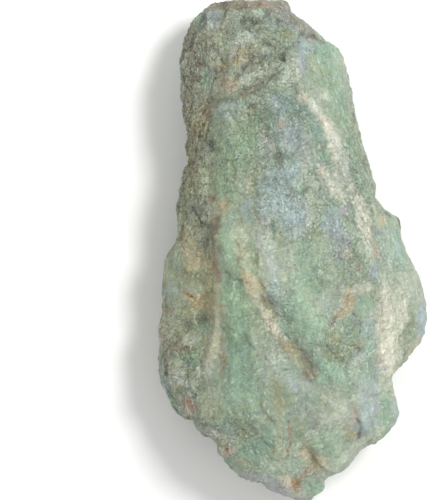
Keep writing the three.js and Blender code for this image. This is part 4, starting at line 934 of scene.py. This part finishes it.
mesh = bpy.data.meshes.new("rough_stone_skin")
mesh.from_pydata(((points + shift) / MM_IN_METRE).tolist(), [], skin_faces())
mesh.polygons.foreach_set("use_smooth", np.ones(len(mesh.polygons), bool))
alpha = np.ones((len(points), 1))
add_attribute(mesh, "tint", "FLOAT_COLOR", np.hstack([skin_values(tint), alpha]))
add_attribute(mesh, "grain", "FLOAT_VECTOR", skin_values(grain_points(grid)))
add_attribute(mesh, "rough", "FLOAT", skin_values(rough))
add_attribute(mesh, "fibrous", "FLOAT", skin_values(fibrous))
stone = bpy.data.objects.new("rough_stone_skin", mesh)
bpy.context.scene.collection.objects.link(stone)
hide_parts("rough_stone")
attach(stone, "root")


# ---------------------------------------------------------------- zoisite
# Zoisite breaks into small blades and grains with a waxy shine. The skin's colour comes from the patches
# above, and here each crystal gets a shade and a tilt of its own, with pale blades, dark grains and dark
# hairline splits between them. On rough ground the pale specks are partly painted highlights, and the
# dark grains and stronger shades partly painted shade.

# crystals to a millimetre, and how far the crossing blades are turned, in radians
LUMPS_IN_MM = 1.3
BLADES_IN_MM = 2.6
GRIT_IN_MM = 2.8
SPLINTERS_IN_MM = 1.1
CROSS_ANGLE = 0.9
BLUE_CRYSTAL = "#8FA3B4"
PALE_CRYSTAL_AND_HIGHLIGHT = "#DDE0D2"
DARK_GRAIN_AND_PIT_SHADE = "#454B3F"
HAIRLINE = "#4E5546"
WAXY_IOR = 1.55
GLOW_DEPTH = 0.0008


def zoisite_material():
    """Waxy zoisite: the placed tint on small tilted crystal faces, with hairline splits."""
    material = bpy.data.materials.new("zoisite")
    material.use_nodes = True
    tree = material.node_tree
    tree.nodes.clear()

    def node(kind, inputs=(), output=0, **settings):
        """Adds a node, and returns the output asked for, or all of them for None.

        The inputs are a list in the order of the sockets, or a dict by a socket's name or number.
        Each is a constant or another node's output.
        """
        made = tree.nodes.new("ShaderNode" + kind)
        for name, value in settings.items():
            setattr(made, name, value)
        for key, value in inputs.items() if isinstance(inputs, dict) else enumerate(inputs):
            if isinstance(value, bpy.types.NodeSocket):
                tree.links.new(value, made.inputs[key])
            else:
                made.inputs[key].default_value = value
        return made.outputs if output is None else made.outputs[output]

    def total(base, *products):
        """The base plus the sum of the products: each is a pair of numbers or outputs."""
        for a, b in products:
            base = node("Math", [a, b, base], operation="MULTIPLY_ADD")
        return base

    def crystals(vector, scale):
        """Three random numbers for each crystal, and the height of its tilted face in mm."""
        cells = node("TexVoronoi", {"Vector": vector, "Scale": scale}, output=None)
        tilt = node("VectorMath", [cells["Color"], (0.5, 0.5, 0.5)], operation="SUBTRACT")
        away = node("VectorMath", [vector, cells["Position"]], operation="SUBTRACT")
        face = node("VectorMath", [tilt, away], output="Value", operation="DOT_PRODUCT")
        return node("SeparateColor", [cells["Color"]], output=None), face

    def splits(vector, scale, width):
        """1 along broken, wandering lines, falling to 0 beside them."""
        swell = node("TexNoise", {"Vector": vector, "Scale": scale, "Detail": 4.0})
        level = node("Math", [swell, 0.5], operation="SUBTRACT")
        return node("MapRange", [node("Math", [level], operation="ABSOLUTE"), width, 0.0])

    # places in millimetres, pushed about so that no crystal stands in a row
    place = node("TexCoord", output="Object")
    mm = node("VectorMath", {0: place, 3: MM_IN_METRE}, operation="SCALE")
    rough = node("Attribute", output="Fac", attribute_name="rough")
    fibrous = node("Attribute", output="Fac", attribute_name="fibrous")
    swirl = node("TexNoise", {"Vector": mm, "Scale": 1.3, "Detail": 2.0}, output="Color")
    wobble = node("VectorMath", [swirl, (0.5, 0.5, 0.5)], operation="SUBTRACT")
    wavy = node("VectorMath", [wobble, (1.4, 1.4, 1.4), mm], operation="MULTIPLY_ADD")
    grain = node("Attribute", output="Vector", attribute_name="grain")
    drawn = node("VectorMath", [wobble, (0.9, 0.5, 0.9), grain], operation="MULTIPLY_ADD")

    # blades lie along the grain in some places and across it in others
    clusters = node("TexNoise", {"Vector": mm, "Scale": 0.22, "Detail": 3.0})
    across = node("VectorRotate", {"Vector": wavy, "Angle": CROSS_ANGLE}, rotation_type="Z_AXIS")
    across = node("VectorMath", [across, (1.0, 0.42, 1.0)], operation="MULTIPLY")
    crossing = node("MapRange", [clusters, 0.50, 0.53])
    bladed = node("Mix", {0: crossing, 4: drawn, 5: across}, output=1, data_type="VECTOR")

    # the crust is patchy: its crystals gather in some places and thin out in others
    gathered = node("MapRange", [clusters, 0.40, 0.60])
    rough = node("Math", [rough, total(0.65, (gathered, 0.7))], operation="MULTIPLY")

    lump, lump_face = crystals(wavy, LUMPS_IN_MM)
    blade, blade_face = crystals(bladed, BLADES_IN_MM)
    grit, grit_face = crystals(wavy, GRIT_IN_MM)
    splinter, splinter_face = crystals(drawn, SPLINTERS_IN_MM)
    haze = node("TexNoise", {"Vector": mm, "Scale": 0.8, "Detail": 5.0})
    streak = node("TexNoise", {"Vector": drawn, "Scale": 0.9, "Detail": 4.0})

    # crystals and specks with a shade each; on rough ground the stronger swings partly paint the light
    # and shade of the crust's tiny crests and pits
    dust = node("TexNoise", {"Vector": wavy, "Scale": 2.0, "Detail": 4.0})
    speck = node("MapRange", [dust, 0.34, 0.66])
    swing = total(0.0, (speck, total(0.26, (rough, 0.48))),
                  (blade[0], total(0.18, (rough, 0.34))),
                  (lump[0], total(0.05, (rough, 0.12))),
                  (grit[0], total(0.15, (rough, 0.42))),
                  (splinter[0], total(0.05, (fibrous, 0.22))),
                  (haze, 0.35), (streak, total(0.3, (fibrous, 0.5))))
    middle = total(0.0, (rough, 0.59), (fibrous, 0.34), (0.70, 1.0))
    swing = node("Math", [node("Math", [swing, 1.0], operation="ADD"), middle],
                 operation="SUBTRACT")
    tint = node("Attribute", output="Color", attribute_name="tint")
    colour = node("VectorMath", {0: tint, 3: swing}, operation="SCALE")

    # pale crystals and dark grains, each in its own clusters, and dark hairlines. On rough ground the
    # pale specks are partly painted highlights, and the dark grains partly painted shade in tiny pits
    pale_often = total(0.0, (rough, 0.14), (gathered, 0.08), (blade[1], 1.0))
    dark_often = total(0.0, (rough, 0.28), (gathered, -0.24), (grit[2], 1.0))
    pale = node("Math", [node("MapRange", [pale_often, 0.92, 1.02]), 0.4], operation="MULTIPLY")
    blue = node("Math", [node("MapRange", [lump[1], 0.70, 0.85]), 0.18], operation="MULTIPLY")
    cracked = node("Math", [splits(mm, 0.45, 0.018), node("MapRange", [clusters, 0.62, 0.46])],
                   operation="MULTIPLY")
    split = node("Math", [splits(drawn, 0.5, 0.02), node("MapRange", [streak, 0.44, 0.60])],
                 operation="MULTIPLY")
    hairline = total(0.0, (cracked, total(0.14, (rough, 0.40))),
                     (split, total(0.12, (fibrous, 0.25))))
    dark = node("Math", [node("MapRange", [dark_often, 0.88, 1.0]), 0.45], operation="MULTIPLY")
    for amount, code in ((blue, BLUE_CRYSTAL), (pale, PALE_CRYSTAL_AND_HIGHLIGHT), (dark, DARK_GRAIN_AND_PIT_SHADE),
                         (hairline, HAIRLINE)):
        colour = node("Mix", {0: amount, 6: colour, 7: (*linear(code), 1)}, output=2,
                      data_type="RGBA")

    # the faces tilt, and the hairlines are sunk; a few faces catch the light
    lift = total(0.0, (lump_face, total(0.12, (rough, 1.0))),
                 (grit_face, total(0.25, (rough, 1.2))),
                 (blade_face, total(0.1, (rough, 0.6))),
                 (splinter_face, total(0.15, (fibrous, 0.7))),
                 (speck, total(0.04, (rough, 0.14))),
                 (haze, 0.35), (hairline, -0.1))
    bump = node("Bump", {"Strength": 1.0, "Distance": 1 / MM_IN_METRE, "Height": lift})
    glint = node("MapRange", [blade[1], 0.95, 0.98])
    roughness = total(0.0, (rough, 0.2), (glint, -0.3), (0.56, 1.0))

    surface = node("BsdfPrincipled", {
        "Base Color": colour, "Roughness": roughness, "IOR": WAXY_IOR, "Normal": bump,
        "Subsurface Weight": 0.08, "Subsurface Radius": (1.0, 1.2, 0.9),
        "Subsurface Scale": GLOW_DEPTH})
    node("OutputMaterial", {"Surface": surface}, output=None)
    return material


mesh.materials.append(zoisite_material())


# ---------------------------------------------------------------- floor
# A plain pale sheet under the stone stands in for a table. It isn't part of the stone, and it lies a
# little lower so that the two surfaces don't meet.

FLOOR_SIZE = 1.6
FLOOR_DROP = 0.0002
FLOOR_COLOUR = "#F6F6F4"

half = FLOOR_SIZE / 2
corners = [(x * half, y * half, -FLOOR_DROP) for x, y in ((-1, -1), (1, -1), (1, 1), (-1, 1))]
floor_mesh = bpy.data.meshes.new("floor")
floor_mesh.from_pydata(corners, [], [range(4)])
floor = bpy.data.objects.new("floor", floor_mesh)
bpy.context.scene.collection.objects.link(floor)

floor_material = bpy.data.materials.new("pale floor")
floor_material.use_nodes = True
floor_shader = floor_material.node_tree.nodes["Principled BSDF"]
for name, value in (("Base Color", (*linear(FLOOR_COLOUR), 1)), ("Roughness", 0.9),
                    ("Specular IOR Level", 0.2)):
    floor_shader.inputs[name].default_value = value
floor_mesh.materials.append(floor_material)


# ---------------------------------------------------------------- light and camera
# One square lamp stands above and to the right, and a white sky fills the shadows. The camera looks
# straight down. Its frame is 119 mm tall, and the stone fills the right of it.

KEY_PLACE = (0.30, 0.22, 0.62)
KEY_AIM = (0, 0, 0.015)
KEY_SIZE = 0.18
KEY_POWER = 3.5
SKY_STRENGTH = 0.74

lamp = bpy.data.lights.new("key", "AREA")
lamp.size = KEY_SIZE
lamp.energy = KEY_POWER
holder = bpy.data.objects.new("key", lamp)
holder.location = KEY_PLACE
holder.rotation_euler = (Vector(KEY_AIM) - Vector(KEY_PLACE)).to_track_quat("-Z", "Y").to_euler()
bpy.context.scene.collection.objects.link(holder)

world = bpy.data.worlds.new("studio")
world.use_nodes = True
sky = world.node_tree.nodes["Background"].inputs
sky["Color"].default_value = (1, 1, 1, 1)
sky["Strength"].default_value = SKY_STRENGTH
bpy.context.scene.world = world
bpy.context.scene.view_settings.view_transform = "Standard"

CAMERA_HEIGHT = 0.75
VIEW_PLANE = 0.015
VIEW_HEIGHT = 0.119
FRAME_MIDDLE = (-0.0185, 0.0003)
SENSOR = 36

camera = bpy.data.cameras.new("camera")
camera.sensor_width = SENSOR
camera.lens = SENSOR * CAMERA_HEIGHT / VIEW_HEIGHT
camera_object = bpy.data.objects.new("camera", camera)
camera_object.location = (*FRAME_MIDDLE, VIEW_PLANE + CAMERA_HEIGHT)
bpy.context.scene.collection.objects.link(camera_object)
bpy.context.scene.camera = camera_object
